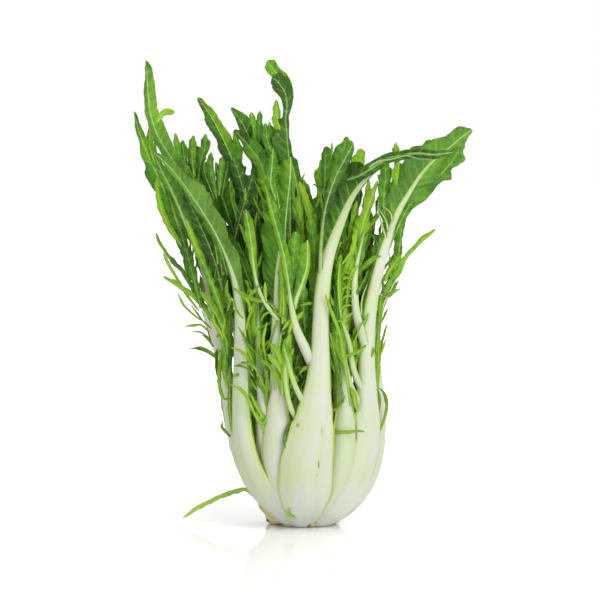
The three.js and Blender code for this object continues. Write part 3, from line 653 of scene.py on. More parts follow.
frontLeaf = {
    "faces": (-84, -90, -98),
    "stations": [
        (1, -24, 3, 12), (1, -41, 14, 16), (2, -53, 30, 21), (3, -60, 52, 21), (7, -63, 78, 18),
        (10.5, -63, 105, 12.3), (13.3, -60, 135, 8.3), (14, -57, 165, 6.6), (15.5, -55, 195, 6),
        (20, -54, 222, 5.2, 5, 0), (29, -55, 247, 3.7, 15, 0), (38, -57, 268, 2.5, 22, 0),
        (47, -60, 281, 1.8, 16, 0), (55, -62, 289, 1.4, 4, 0),
    ],
    "branches": [
        {
            "stations": [
                (14, -54, 204, 1.6), (14, -59, 222, 1.5), (15, -60, 240, 1.1, 1, 1),
                (18, -62, 262, 0.7, 2.5, 3), (25, -64, 284, 0.6, 5, 6), (33, -65, 300, 0.5, 6, 6),
                (40, -65, 313, 0.4, 1, 1),
            ],
            "lobeDepth": 0.2, "tint": 0.14, "halves": (0.04, -0.04), "dull": 0.4, "greenFrom": (180, 235),
            "bladeColumns": 6,
        },
        {
            "stations": [
                (9, -56, 130, 3.4), (1.5, -60, 149, 4.1), (-5, -62, 164, 3.4),
                (-8.5, -63, 179, 2.2, 0.5, 0.5), (-10.5, -63, 192, 1.2, 1.5, 2.5),
                (-12.5, -63, 207, 0.8, 3, 4), (-15, -62, 222, 0.7, 3.5, 5), (-19, -62, 238, 0.6, 3, 4.5),
                (-24, -61, 256, 0.5, 3, 3.5), (-30, -60, 279, 0.4, 1, 1),
            ],
            "lobeDepth": 0.15, "tint": 0.6, "halves": (0.12, -0.1), "greenFrom": (165, 222),
            "bladeColumns": 6,
        },
        {
            "stations": [
                (-8, -62, 178, 1.5), (-5, -63, 190, 1.3, 3, 1.5), (-1, -63, 201, 1, 7, 2.5),
                (2.5, -62, 213, 0.7, 12, 2.5), (3.5, -62, 224, 0.6, 9, 2), (3.5, -62, 236, 0.4, 1, 1),
            ],
            "lobeDepth": 0.15, "tint": 0.6, "halves": (0, 0.25), "greenFrom": (165, 225),
            "bladeColumns": 7,
        },
        {
            "stations": [
                (3, -59, 98, 2), (-1, -62, 108, 2.4), (-6, -63, 118, 2.1), (-10, -64, 130, 1.6, 1.5, 1.5),
                (-13, -64, 142, 1.2, 4, 4), (-16, -64, 153, 0.5, 1, 1),
            ],
            "greenFrom": (90, 150),
        },
        {
            "stations": [
                (-4, -57, 90, 1.6), (-9, -60, 99, 2), (-12, -62, 109, 1.8), (-14, -63, 122, 1.4, 1, 2),
                (-14, -63, 134, 1, 3, 3), (-12, -63, 146, 0.5, 1, 1),
            ],
            "greenFrom": (80, 150),
        },
        {
            "faces": (-92, -96),
            "stations": [
                (35, -63, 284, 0.6, 2, 1), (44, -66, 287, 0.7, 6, 5), (54, -69, 293, 0.9, 5, 6),
                (65, -72, 300, 1, 4, 5), (77, -74, 303, 1, 3.5, 5), (90, -75, 305, 1, 3, 6),
                (104, -75, 304, 0.9, 3, 4), (119, -75, 306, 0.5, 1, 1),
            ],
            "lobeDepth": 0.12, "tint": 0.3, "greenFrom": (40, 300), "bladeColumns": 6,
        },
        {
            "stations": [
                (-2, -42.6, 12, 0.5, 0.8, 0.8), (-8, -44, 11, 0.6, 1.1, 1.1),
                (-12.6, -45.6, 13.5, 0.5, 1.1, 1.1), (-11, -49.4, 19, 0.4, 0.5, 0.5),
            ],
            "tint": 1, "dull": 0, "greenFrom": (-200, -100), "bladeGreenFrom": (-90, 60),
        },
    ],
    "strands": [
        (0.1, 0, 1.3, (-77, -78), [(54, 294), (62, 299), (72, 300.5), (84, 303.5), (94, 301),
                                   (106, 300.5)]),
        (0.85, 5, 1.2, (-60, -62), [(-17, 106), (-17, 124), (-15, 141), (-11, 157)]),
        (0.95, 4, 0.6, (-60, -62), [(-17, 122), (-22, 132), (-29, 140)]),
        (0.85, 4.5, 0.6, (-60, -62), [(-17, 130), (-20, 138), (-23, 144), (-27, 149)]),
        (0.9, 2.8, 0.6, (-60, -62), [(-18, 116), (-23, 124), (-27, 129)]),
        (1, 2.6, 0.6, (-61, -63), [(-15, 130), (-11, 138), (-8, 145)]),
        (0.8, 4.2, 0.8, (-58, -58), [(-17, 165), (-16, 180), (-16.5, 195), (-17.5, 207), (-18, 218)]),
        (0.85, 2.6, 0.6, (-63, -64), [(-12, 157), (-9, 165), (-4, 170), (0, 175)]),
        (0.35, 7, 0.8, (-47, -50), [(2, 148), (1, 165), (0, 180), (1, 196)]),
        (0.5, 6, 0.9, (-48, -50), [(28, 105), (27, 138), (28, 170), (30, 198), (31, 222)]),
        (0.7, 2.2, 0.6, (-60, -62), [(-17, 160), (-11, 167), (-2, 174)]),
        (0.7, 2, 0.6, (-60, -62), [(-13, 166), (-19, 172), (-25, 175)]),
        (0.85, 1.2, 0.6, (-59, -61), [(-13, 96), (-17, 112), (-19, 128), (-20, 142), (-18, 158)]),
        (0.1, 1.8, 0.5, (-54, -58), [(-6, 122), (-9, 133), (-13, 143)]),
        (0.2, 1.6, 0.5, (-54, -58), [(-1, 120), (-4, 132), (-8, 141)]),
        (0.05, 2, 0.5, (-52, -56), [(2, 118), (1, 128), (-3, 138), (-2, 147)]),
        (0.3, 1.6, 0.5, (-54, -57), [(3, 126), (-2, 129), (-7, 128)]),
        (0.15, 2.4, 0.5, (-50, -54), [(2, 150), (-1, 163), (-4, 175), (-3, 190)]),
        (0.45, 1.8, 0.6, (-58, -62), [(-10, 85), (-13, 78), (-15, 70), (-14, 62)]),
        (0.75, 1.5, 0.8, (-50, -56), [(24, 92), (23, 82), (26, 76), (36, 75.5), (44, 76.5), (51, 76)]),
        (0.75, 1.3, 0.6, (-50, -52), [(22, 93), (29, 96), (35, 106)]),
        (0.7, 1.7, 0.6, (-58, -62), [(39, 97), (36, 120), (33, 140), (30, 157), (24, 173), (18, 190)]),
        (0.5, 1.5, 0.5, (-54, -58), [(33, 100), (30, 122), (26, 140), (22, 158)]),
        (0.2, 3, 0.6, (-46, -48), [(24, 150), (27, 172), (26, 195), (29, 215)]),
        (0.55, 8, 0.8, (-45, -47), [(7, 172), (9, 198), (9, 225), (6, 252)]),
        (0.5, 8, 0.6, (-60, -61), [(-9, 184), (-9, 202), (-8, 220), (-6, 241)]),
        (0.65, 6, 0.8, (-57, -58), [(-19, 171), (-18, 186), (-18, 200), (-18, 215)]),
    ],
    "crease": (0.34, 0.9), "lobeDepth": 0.2, "ruffle": 3.2, "ruffleLength": 17, "quilt": 0.8,
    "crinkle": 1.6, "tint": 0.2, "greenFrom": (205, 330), "greenLeast": 0.05, "rowGap": 1.0,
    "ribColumns": 13, "bladeColumns": 9,
}
growLeaf("front_leaf", frontLeaf, leafSkin, 11)

leftLeaf = {
    "faces": (-136, -124, -104),
    "stations": [
        (-13, -20, 4, 10), (-21, -30, 14, 14), (-32, -38, 29, 15.5), (-42, -42, 47, 13.5),
        (-48.5, -43, 72, 10.7), (-50.5, -43, 100, 8.6), (-50.6, -42, 140, 6.8), (-50.8, -42, 170, 5.2),
        (-53, -43, 193, 3.2, 1, 5), (-58, -45, 212, 1.5, 2, 11), (-66, -47, 232, 0.8, 4, 14),
        (-76, -51, 251, 0.6, 5, 15), (-89, -54, 271, 0.6, 6, 12), (-103, -56, 290, 0.5, 5, 7),
        (-119, -55, 306, 0.4, 1, 1),
    ],
    "branches": [
        {
            "twist": (0, 0, 0, 30),
            "stations": [
                (-80, -42, 262, 0.8, 6, 8), (-94, -44, 284, 0.8, 9, 9), (-105, -46, 300, 0.7, 10, 9),
                (-115, -47, 316, 0.7, 9, 9), (-121.5, -48, 333, 0.6, 7, 8),
                (-124, -49, 351, 0.6, 7.5, 7.5), (-125, -49, 367, 0.5, 6.5, 5.5),
                (-126, -48, 379, 0.4, 3.5, 3),
            ],
            "fold": ((20, 30), (10, 45)), "lobeDepth": 0.12, "tint": 0.4, "halves": (0.12, 0.12),
            "dull": 0.5, "greenFrom": (150, 300), "rowGap": 1.2, "bladeColumns": 7,
        },
    ],
    "strands": [
        (0.75, 4.2, 0.7, (-47, -45), [(-121, 327), (-117, 335), (-113, 338.5), (-105, 339)]),
        (0.35, 7, 1, (-39, -41), [(-40, 190), (-46, 205), (-52, 220), (-62, 238)]),
        (0.15, 9, 1, (-32, -36), [(-66, 192), (-73, 218), (-84, 245), (-97, 272)]),
        (0.2, 8, 0.8, (-38, -42), [(-62, 205), (-70, 232), (-80, 254), (-93, 276), (-106, 296)]),
        (0.55, 2.8, 0.9, (-52, -56), [(-18, 170), (-28, 182), (-38, 184), (-49, 188), (-58, 195)]),
        (0.55, 2.4, 0.6, (-55, -56), [(-46, 187), (-41, 191), (-36, 197)]),
        (0.85, 1.6, 0.6, (-50, -58), [(-30, 90), (-31, 85), (-35, 83), (-40, 91), (-46, 104), (-52, 111),
                                      (-60, 115)]),
        (0.85, 1.6, 0.6, (-50, -58), [(-29, 104), (-34, 118), (-40, 130), (-45, 142), (-49, 152)]),
        (0.35, 1.4, 0.6, (-44, -46), [(-43, 60), (-44, 80), (-42, 100), (-44, 118)]),
        (0.1, 2.6, 0.6, (-38, -40), [(-40, 66), (-41, 90), (-40, 112), (-42, 135)]),
        (0.85, 2.6, 0.6, (-42, -44), [(-43, 120), (-42, 140), (-44, 160), (-42, 178)]),
        (0.7, 3, 0.6, (-44, -46), [(-38, 128), (-36, 145), (-40, 165), (-38, 184)]),
        (0.9, 2.2, 0.6, (-46, -48), [(-47, 160), (-44, 172), (-40, 182), (-34, 196)]),
        (0.8, 1.8, 0.6, (-50, -54), [(-32, 120), (-31, 135), (-33, 150), (-30, 166)]),
        (1, 1.5, 0.5, (-50, -54), [(-36, 128), (-38, 140), (-36, 152), (-39, 163)]),
        (0.55, 4.2, 0.9, (-34, -40), [(-62, 140), (-64, 155), (-69, 168), (-76, 180), (-85, 192)]),
        (0.7, 3.6, 1, (-32, -38), [(-63, 150), (-67, 175), (-77, 203), (-87, 226), (-96, 251)]),
        (0.7, 3, 0.8, (-32, -34), [(-66, 205), (-68, 220), (-71, 243)]),
        (0.65, 8, 0.9, (-25, -28), [(-64, 145), (-68, 172), (-71, 200), (-73, 228), (-74, 252)]),
        (0.5, 4, 0.8, (-26, -28), [(-60, 120), (-60, 145), (-61, 170), (-64, 190), (-66, 212)]),
        (0.95, 1.8, 0.5, (-34, -36), [(-62, 176), (-60, 184), (-63, 192), (-62, 201)]),
        (0.9, 1.6, 0.5, (-34, -36), [(-66, 205), (-63, 212), (-64, 222), (-61, 228)]),
        (0.95, 1.4, 0.5, (-36, -38), [(-66, 152), (-69, 160), (-73, 166), (-74, 174)]),
        (0.9, 1.4, 0.5, (-36, -38), [(-62, 150), (-66, 158), (-65, 168), (-69, 173)]),
        (0.9, 2.4, 0.6, (-33, -35), [(-70, 214), (-72, 230), (-76, 244), (-79, 256)]),
    ],
    "crease": (-0.3, 0.4), "lobeDepth": 0.12, "ruffle": 1.6, "ruffleLength": 30, "tint": 0.6,
    "halves": (0.14, -0.02), "dull": 0.8, "greenFrom": (180, 300), "greenLeast": 0.12, "rowGap": 1.0,
    "ribColumns": 13, "bladeColumns": 9,
}
growLeaf("left_leaf", leftLeaf, leafSkin, 12)

rightLeaf = {
    "faces": (-50, -66, -86),
    "stations": [
        (14, -20, 3, 12), (27, -28, 13, 15), (39, -33, 30, 16), (48, -36, 52, 15), (52.5, -37, 80, 13),
        (52.5, -37, 110, 9), (52, -37, 140, 7), (53, -37, 165, 6.3), (55.5, -38, 185, 5.5),
        (59.5, -40, 205, 4.8), (64.5, -41, 224, 4.2, 1, 0), (69.5, -43, 240, 3.6, 4, 3),
        (77, -46, 259, 2.8, 14, 12), (86, -48, 275, 2, 20, 25), (95, -50, 289, 1.5, 19, 31),
        (104, -52, 299, 1.1, 13, 25), (114, -53, 307, 0.8, 10, 16), (124, -54, 316, 0.6, 8, 6),
        (135, -54, 324, 0.5, 2, 2),
    ],
    "branches": [
        {
            "stations": [
                (51, -38, 145, 3.4), (47, -42, 160, 3.6), (42.5, -44, 179, 3.2), (41.5, -45, 199, 2.6),
                (43, -45, 214, 1.6, 3, 2), (46, -44, 228, 0.9, 5, 4), (49, -44, 242, 0.4, 1, 1),
            ],
            "tint": 0.5, "greenFrom": (205, 250),
        },
        {
            "stations": [
                (48.5, -38, 112, 2.6), (43.5, -45, 123, 2.6), (40, -47, 134, 2.3), (38, -48, 148, 2),
                (35, -49, 160, 1.6), (31, -50, 170, 0.8),
            ],
            "greenFrom": (140, 220),
        },
        {
            "stations": [
                (47.5, -38, 101, 2.2), (42.5, -44, 109, 2.3), (38, -47, 120, 1.9), (35, -48, 133, 1.4),
                (34, -48, 142, 0.6),
            ],
            "greenFrom": (100, 170),
        },
    ],
    "strands": [
        (0.1, 0, 1.2, (-47, -49), [(68, 236), (65, 246), (62, 256), (62, 266)]),
        (0.1, 0, 1.0, (-48, -50), [(70, 241), (68, 250), (64, 257), (61, 262)]),
        (0.1, 0, 1.0, (-48, -50), [(73, 249), (72, 256), (68, 260), (64, 263)]),
        (0.4, 8, 0.9, (-45, -47), [(69, 244), (66, 262), (67, 280), (68, 299)]),
        (0.75, 7, 0.8, (-46, -48), [(77, 254), (76, 270), (77, 284), (79, 298)]),
        (0.85, 6, 0.8, (-44, -46), [(82, 268), (84, 281), (87, 292), (92, 302)]),
        (0.3, 5, 0.9, (-47, -47), [(76, 240), (80, 249), (84, 257), (90, 266)]),
        (0.45, 7, 0.8, (-57, -57), [(113, 288), (119, 295), (123, 300), (128, 308)]),
        (0.6, 6, 0.8, (-44, -44), [(86, 295), (95, 304), (103, 310), (112, 316)]),
        (0.7, 4, 0.7, (-40, -40), [(76, 288), (77, 299), (76, 306), (76, 314)]),
        (1, 1.2, 1.1, (-52, -54), [(32, 165), (30, 180), (29, 197), (30, 215)]),
        (0.95, 1.3, 0.4, (-48, -46), [(30, 176), (35, 180), (41, 180)]),
        (0.95, 1.3, 0.4, (-48, -46), [(30, 183), (36, 188), (42, 187)]),
        (0.95, 1.3, 0.4, (-48, -46), [(29, 191), (35, 195), (41, 193)]),
        (1, 1.4, 0.4, (-48, -46), [(29, 199), (35, 203), (41, 201)]),
        (1, 1.8, 0.5, (-48, -46), [(30, 212), (36, 207), (42, 204)]),
        (0.9, 1.4, 0.5, (-50, -52), [(31, 213), (36, 219), (40, 226)]),
        (0.85, 4.5, 0.8, (-40, -42), [(36, 160), (35, 180), (37, 202), (39, 224)]),
        (0.9, 3, 0.6, (-40, -42), [(42, 118), (43, 133), (42, 149), (44, 164)]),
        (0.95, 1.5, 0.7, (-50, -52), [(22, 158), (26, 146), (33, 132), (38, 118)]),
        (0.9, 1.4, 0.7, (-50, -52), [(22, 150), (25, 138), (28, 124), (29, 108)]),
        (0.8, 2, 0.7, (-46, -48), [(30, 105), (29, 125), (26, 145), (23, 166)]),
        (0.8, 1.5, 0.5, (-54, -56), [(32, 168), (29, 167), (25, 168)]),
        (0.8, 1.5, 0.5, (-54, -56), [(32, 168), (36, 171), (41, 174)]),
        (0.75, 1.8, 0.6, (-52, -56), [(33, 139), (40, 139.5), (46, 142), (52, 147)]),
        (0.9, 3, 0.6, (-48, -48), [(45, 92), (43, 99), (42, 106), (38, 113)]),
        (0.1, 0, 1.2, (-42, -42), [(48, 172), (48, 182), (50, 191), (53, 198)]),
        (0.25, 3, 0.6, (-36, -38), [(46, 122), (45, 135), (43, 146), (45, 158)]),
        (0.2, 3, 0.6, (-40, -42), [(38, 170), (37, 185), (35, 200), (37, 214)]),
        (0.85, 3, 0.7, (-44, -46), [(35, 178), (37, 195), (39, 210), (39, 226)]),
    ],
    "fold": ((14, 26), (4, 10)), "crease": (0.3, 0.4), "lobeDepth": 0.15, "ruffle": 2.2, "quilt": 0.6,
    "tint": 0.48, "halves": (-0.12, 0.02), "dull": 0.6, "greenFrom": (235, 360), "rowGap": 1.0,
    "ribColumns": 13, "bladeColumns": 9,
}
growLeaf("right_leaf", rightLeaf, leafSkin, 13)

secondRow = {
    "mid_left_leaf": {
        "faces": (-110, -96),
        "stations": [
            (-8, -18, 4, 10), (-13, -33, 14, 13), (-18, -44, 30, 13), (-22, -50, 50, 12.5),
            (-22, -52, 72, 11.5), (-21, -52, 92, 9.4), (-21, -52, 115, 6.4), (-22, -51, 140, 4.2),
            (-22, -50, 165, 3.6), (-21, -50, 188, 2.9, 9, 2), (-20.5, -50, 208, 2.1, 23, 4),
            (-18.5, -50, 228, 1.4, 27, 5), (-18, -51, 247, 0.7, 22, 5), (-20, -51, 268, 0.5, 9, 5),
            (-24, -51, 290, 0.4, 1, 1),
        ],
        "branches": [
            {
                "stations": [
                    (-7, -54, 204, 0.6, 2, 1), (-13, -54, 224, 0.5, 8, 2), (-14.5, -54, 243, 0.5, 17, 2),
                    (-13, -53, 262, 0.4, 20, 1), (-11, -53, 280, 0.5, 20, 1), (-10, -53, 293, 0.5, 9, 1),
                    (-10, -53, 302, 0.4, 1, 1),
                ],
                "lobeDepth": 0.15, "tint": 0.55, "greenMost": 0.6, "bladeColumns": 7,
            },
            {
                "faces": (-100, -100),
                "stations": [
                    (-19.5, -53, 171, 1.8), (-28, -54, 181.5, 1.7), (-36, -54, 197, 1.4),
                    (-39.5, -54, 214, 1, 2, 2), (-41, -53, 229, 0.7, 4, 4),
                    (-43.5, -53, 246, 0.5, 5, 4.5), (-46, -52, 260, 0.4, 1, 1),
                ],
                "lobeDepth": 0.12, "tint": 0.5, "greenFrom": (170, 238),
            },
            {
                "stations": [
                    (-22, -56, 268, 0.6, 3, 3), (-26, -57, 281, 0.6, 6, 6), (-25, -57, 294, 0.6, 5, 5),
                    (-24, -57, 309, 0.4, 1, 1),
                ],
                "tint": 0.45,
            },
        ],
        "frills": [
            (16, (0.45, 1), (-50, -26, 98, 185, -56, -44)), (8, (0.4, 1), (-24, 2, 110, 185, -60, -50)),
        ],
        "sprouts": [(14, 4, 7, (18, 34), (1.2, 2.4))], "fold": ((6, 4), (6, 14)), "lobeDepth": 0.3,
        "quilt": 1.6, "veinGap": 5, "sweep": 50, "greenFrom": (215, 290), "rowGap": 1.0,
    },
    "mid_right_leaf": {
        "faces": (-52, -84),
        "stations": [
            (8, -18, 4, 10), (17, -30, 14, 12), (25, -39, 30, 13), (32, -44, 50, 13), (34, -46, 75, 11),
            (34, -46, 100, 7), (33, -44, 130, 4, 1, 1), (32, -41, 160, 2.6, 4, 4),
            (35, -42, 190, 1.2, 7, 7), (41, -42, 215, 1, 10, 9), (46, -42, 240, 0.8, 10, 8),
            (53, -43, 264, 0.6, 6, 5), (60, -44, 283, 0.4, 1, 1),
        ],
        "strands": [
            (0.65, 4, 0.8, (-40, -42), [(38, 190), (44, 220), (50, 250), (54, 284)]),
            (0.7, 3, 0.7, (-40, -40), [(46, 225), (51, 245), (56, 265), (60, 281)]),
            (0.8, 2.5, 0.6, (-38, -38), [(48, 235), (53, 243), (59, 250), (65, 259)]),
            (0.6, 4.5, 0.8, (-38, -38), [(34, 200), (38, 225), (41, 245), (44, 266)]),
            (0.6, 3, 0.7, (-36, -36), [(50, 190), (55, 205), (58, 218), (59, 230)]),
            (0.6, 4.2, 0.6, (-38, -44), [(44, 205), (50, 212), (57, 217), (64, 221)]),
            (0.6, 2, 0.6, (-38, -38), [(46, 215), (49, 228), (53, 239)]),
            (0.3, 5, 0.8, (-30, -32), [(30, 120), (32, 145), (30, 170), (33, 195)]),
            (0.4, 5, 0.8, (-30, -32), [(40, 130), (42, 150), (40, 172), (43, 195)]),
            (0.55, 5, 0.8, (-36, -38), [(28, 170), (30, 195), (33, 220), (33, 246)]),
            (0.15, 6, 0.8, (-20, -22), [(44, 66), (44, 90), (45, 112), (46, 138)]),
            (0.8, 3.5, 0.8, (-44, -46), [(30, 196), (36, 212), (41, 226), (44, 243)]),
            (0.65, 7, 0.9, (-24, -26), [(50, 170), (53, 190), (56, 210), (58, 230)]),
            (0.75, 6, 0.9, (-24, -26), [(46, 190), (48, 215), (52, 238), (55, 258)]),
            (0.7, 3, 0.8, (-44, -46), [(34, 150), (30, 165), (29, 182), (31, 200)]),
            (0.75, 9, 1, (-37, -38), [(30, 184), (34, 208), (41, 230), (49, 251)]),
            (0.6, 8, 0.9, (-34, -35), [(25, 190), (27, 214), (31, 238), (36, 258)]),
        ],
        "frills": [
            (14, (0.4, 1), (24, 48, 105, 225, -46, -34)), (6, (0.4, 1), (40, 64, 190, 250, -36, -24)),
        ],
        "sprouts": [(20, 5.5, 8.5, (18, 36), (1.2, 2.6))], "lobeDepth": 0.65, "tint": 0.75,
        "greenFrom": (85, 175), "greenLeast": 0.22,
    },
    "mid_left_inner_leaf": {
        "faces": (-128, -100),
        "stations": [
            (-12, -14, 5, 8), (-22, -26, 15, 11), (-29, -36, 32, 9), (-32, -43, 60, 6), (-33, -46, 90, 5),
            (-34, -46, 120, 3.6), (-36, -45, 150, 2.6, 3, 3), (-37, -42, 180, 1.5, 6, 6),
            (-40, -42, 210, 1, 8, 8), (-44, -42, 235, 0.7, 7, 7), (-48, -42, 259, 0.4, 1, 1),
        ],
        "strands": [
            (0.6, 3, 0.8, (-48, -48), [(-40, 200), (-42, 218), (-47, 233), (-52, 247)]),
            (0.15, 5, 0.8, (-34, -36), [(-30, 130), (-32, 155), (-30, 180), (-33, 205)]),
            (0.2, 5, 0.8, (-34, -36), [(-44, 150), (-46, 175), (-48, 200), (-50, 222)]),
            (0.75, 1.5, 0.6, (-50, -54), [(-27, 103), (-29, 118), (-33, 132), (-36, 146)]),
        ],
        "sprouts": [(16, 4, 8, (16, 34), (1.2, 2.4))], "lobeDepth": 0.5, "greenFrom": (110, 200),
    },
}
sideLeaves = {
    "far_left_leaf": {
        "faces": (-172, -110),
        "stations": [
            (-16, -7, 5, 9), (-26, -8, 14, 11), (-40, -9, 29, 13), (-51, -9, 52, 13), (-58, -8, 80, 11),
            (-62, -7, 110, 8), (-66, -7, 138, 6), (-71, -9, 160, 4.8), (-76, -11, 182, 3.6, 1, 1),
            (-80, -14, 203, 2.6, 3, 3), (-87, -18, 228, 2, 6, 8), (-96, -22, 250, 1.6, 8, 10),
            (-105, -25, 272, 1.2, 7, 10), (-114, -28, 290, 0.8, 4, 5), (-120, -30, 304, 0.4, 1, 1),
        ],
        "strands": [
            (0.75, 3.3, 0.8, (-14, -22), [(-90, 216), (-99, 229), (-108, 241), (-115, 256), (-119, 272),
                                          (-119, 288)]),
            (0.7, 3.2, 0.8, (-12, -16), [(-88, 190), (-95, 203), (-104, 213), (-112, 222), (-118, 231),
                                         (-121, 240)]),
            (0.3, 3, 0.7, (-14, -18), [(-86, 184), (-92, 196), (-98, 207), (-106, 215), (-111, 222)]),
            (0.65, 3.6, 0.8, (-16, -24), [(-70, 160), (-79, 175), (-90, 187), (-102, 196), (-115, 204)]),
            (0.8, 1.8, 0.6, (-16, -18), [(-84, 168), (-92, 174), (-99, 181), (-103, 190)]),
            (0.85, 1.8, 0.5, (-12, -14), [(-77, 158), (-84, 164), (-90, 163.5), (-97, 163)]),
            (0.6, 0.8, 0.4, (-12, -12), [(-78, 154), (-84, 158), (-92, 159)]),
            (0.6, 2, 0.5, (-14, -14), [(-74, 146), (-78, 152), (-83, 156)]),
            (0.75, 1.6, 0.6, (-22, -26), [(-60, 72), (-64, 76), (-67, 80), (-66, 84)]),
            (0.95, 2.2, 0.6, (-26, -28), [(-62, 103), (-66, 104), (-69, 116), (-68, 132), (-65, 148)]),
            (0.15, 5, 0.8, (-22, -22), [(-84, 178), (-89, 200), (-95, 222), (-102, 246)]),
            (0.85, 1.6, 0.6, (-14, -16), [(-86, 176), (-95, 188), (-104, 203), (-111, 215), (-115, 224)]),
            (0.8, 2, 0.6, (-26, -28), [(-60, 100), (-60, 110), (-63, 118)]),
            (1, 1.6, 1.4, (-30, -30), [(-58, 76), (-60, 92), (-60.5, 108), (-60, 130)]),
            (0.8, 3.4, 0.8, (-30, -32), [(-62, 112), (-65, 126), (-64, 140), (-67, 154)]),
            (0.15, 5, 0.8, (-8, -10), [(-66, 150), (-70, 175), (-76, 200), (-80, 222)]),
        ],
        "frills": [
            (12, (0.3, 1), (-73, -60, 118, 172, -32, -14)),
        ],
        "sprouts": [(8, 7, 9, (20, 44), (1.8, 3.4))], "lobeDepth": 0.3, "tint": 0.45,
        "greenFrom": (190, 300),
    },
    "outer_left_leaf": {
        "faces": (170, -130),
        "stations": [
            (-15, 4, 5, 8), (-23.5, 8, 14, 11), (-36.5, 11, 30, 12), (-47.5, 13, 55, 11),
            (-56, 14, 85, 9), (-62.5, 14, 115, 7), (-70, 13, 145, 5.5), (-81, 10, 175, 4.2, 1, 1),
            (-90, 6, 205, 1.7, 3, 4), (-99, 2, 233, 1.2, 4, 6), (-107, -2, 257, 0.9, 8, 9),
            (-116, -5, 280, 0.7, 11, 10), (-126, -6, 302, 0.6, 8, 8), (-133, -7, 320, 0.5, 3.5, 3.5),
            (-138, -8, 339, 0.4, 1, 1),
        ],
        "strands": [
            (0.45, 4.4, 0.7, (-8, -8), [(-121, 296), (-125, 308), (-126, 318), (-125, 328)]),
            (0.5, 4, 0.8, (-4, -6), [(-98, 232), (-104, 248), (-106, 262), (-112, 274)]),
        ],
        "sprouts": [(10, 7, 9, (20, 44), (1.8, 3.4))], "stems": (3, 0.48, 0.65), "lobeDepth": 0.3,
        "tint": 0.45, "greenFrom": (150, 260),
    },
    "far_right_leaf": {
        "faces": (-8, -60),
        "stations": [
            (20, -8, 4, 10), (37, -8, 13, 12), (51, -8, 29, 14), (60, -6, 52, 13), (63, -3, 80, 11),
            (62, 0, 110, 8), (60, 2, 140, 5), (62, 2, 165, 3.6), (67, 1, 185, 1.6, 2, 2),
            (73, 0, 203, 1.1, 6, 6), (78, -1, 222, 0.9, 6, 6), (80, -2, 240, 0.6, 5, 5),
            (82, -3, 257, 0.4, 1, 1),
        ],
        "strands": [
            (0.2, 0, 3.2, (-3, -18), [(58, 138), (59, 158), (66, 181), (77, 203)]),
            (0.75, 1.6, 0.5, (-22, -24), [(60, 186), (68, 188), (74, 191), (80, 194)]),
            (0.7, 3.2, 0.8, (-12, -14), [(74, 203), (80, 214), (88, 224), (98, 234), (109, 243)]),
            (0.75, 4, 0.8, (-18, -20), [(67, 200), (71, 209), (76, 216), (81, 222)]),
            (0.5, 3.6, 0.8, (-16, -16), [(66, 190), (72, 200), (78, 208), (80, 217)]),
            (0.85, 1.3, 0.5, (-16, -20), [(60, 95), (62, 120), (64, 145), (69, 165)]),
            (0.85, 1.2, 0.5, (-16, -16), [(63, 138), (66, 146), (68, 152)]),
            (0.85, 1.6, 0.6, (-14, -16), [(62, 74), (66, 84), (69, 96), (67, 107), (63, 112)]),
            (0.8, 1.4, 0.6, (-16, -18), [(61, 88), (63, 100), (62, 111)]),
            (0.9, 3.2, 0.7, (-22, -22), [(60, 100), (61, 120), (62, 140), (62, 160)]),
            (0.8, 3, 0.7, (-22, -22), [(60, 140), (62, 160), (63, 175), (64, 188)]),
        ],
        "sprouts": [(8, 7, 9, (14, 30), (1.5, 2.8))], "lobeDepth": 0.5, "greenFrom": (120, 200),
    },
}
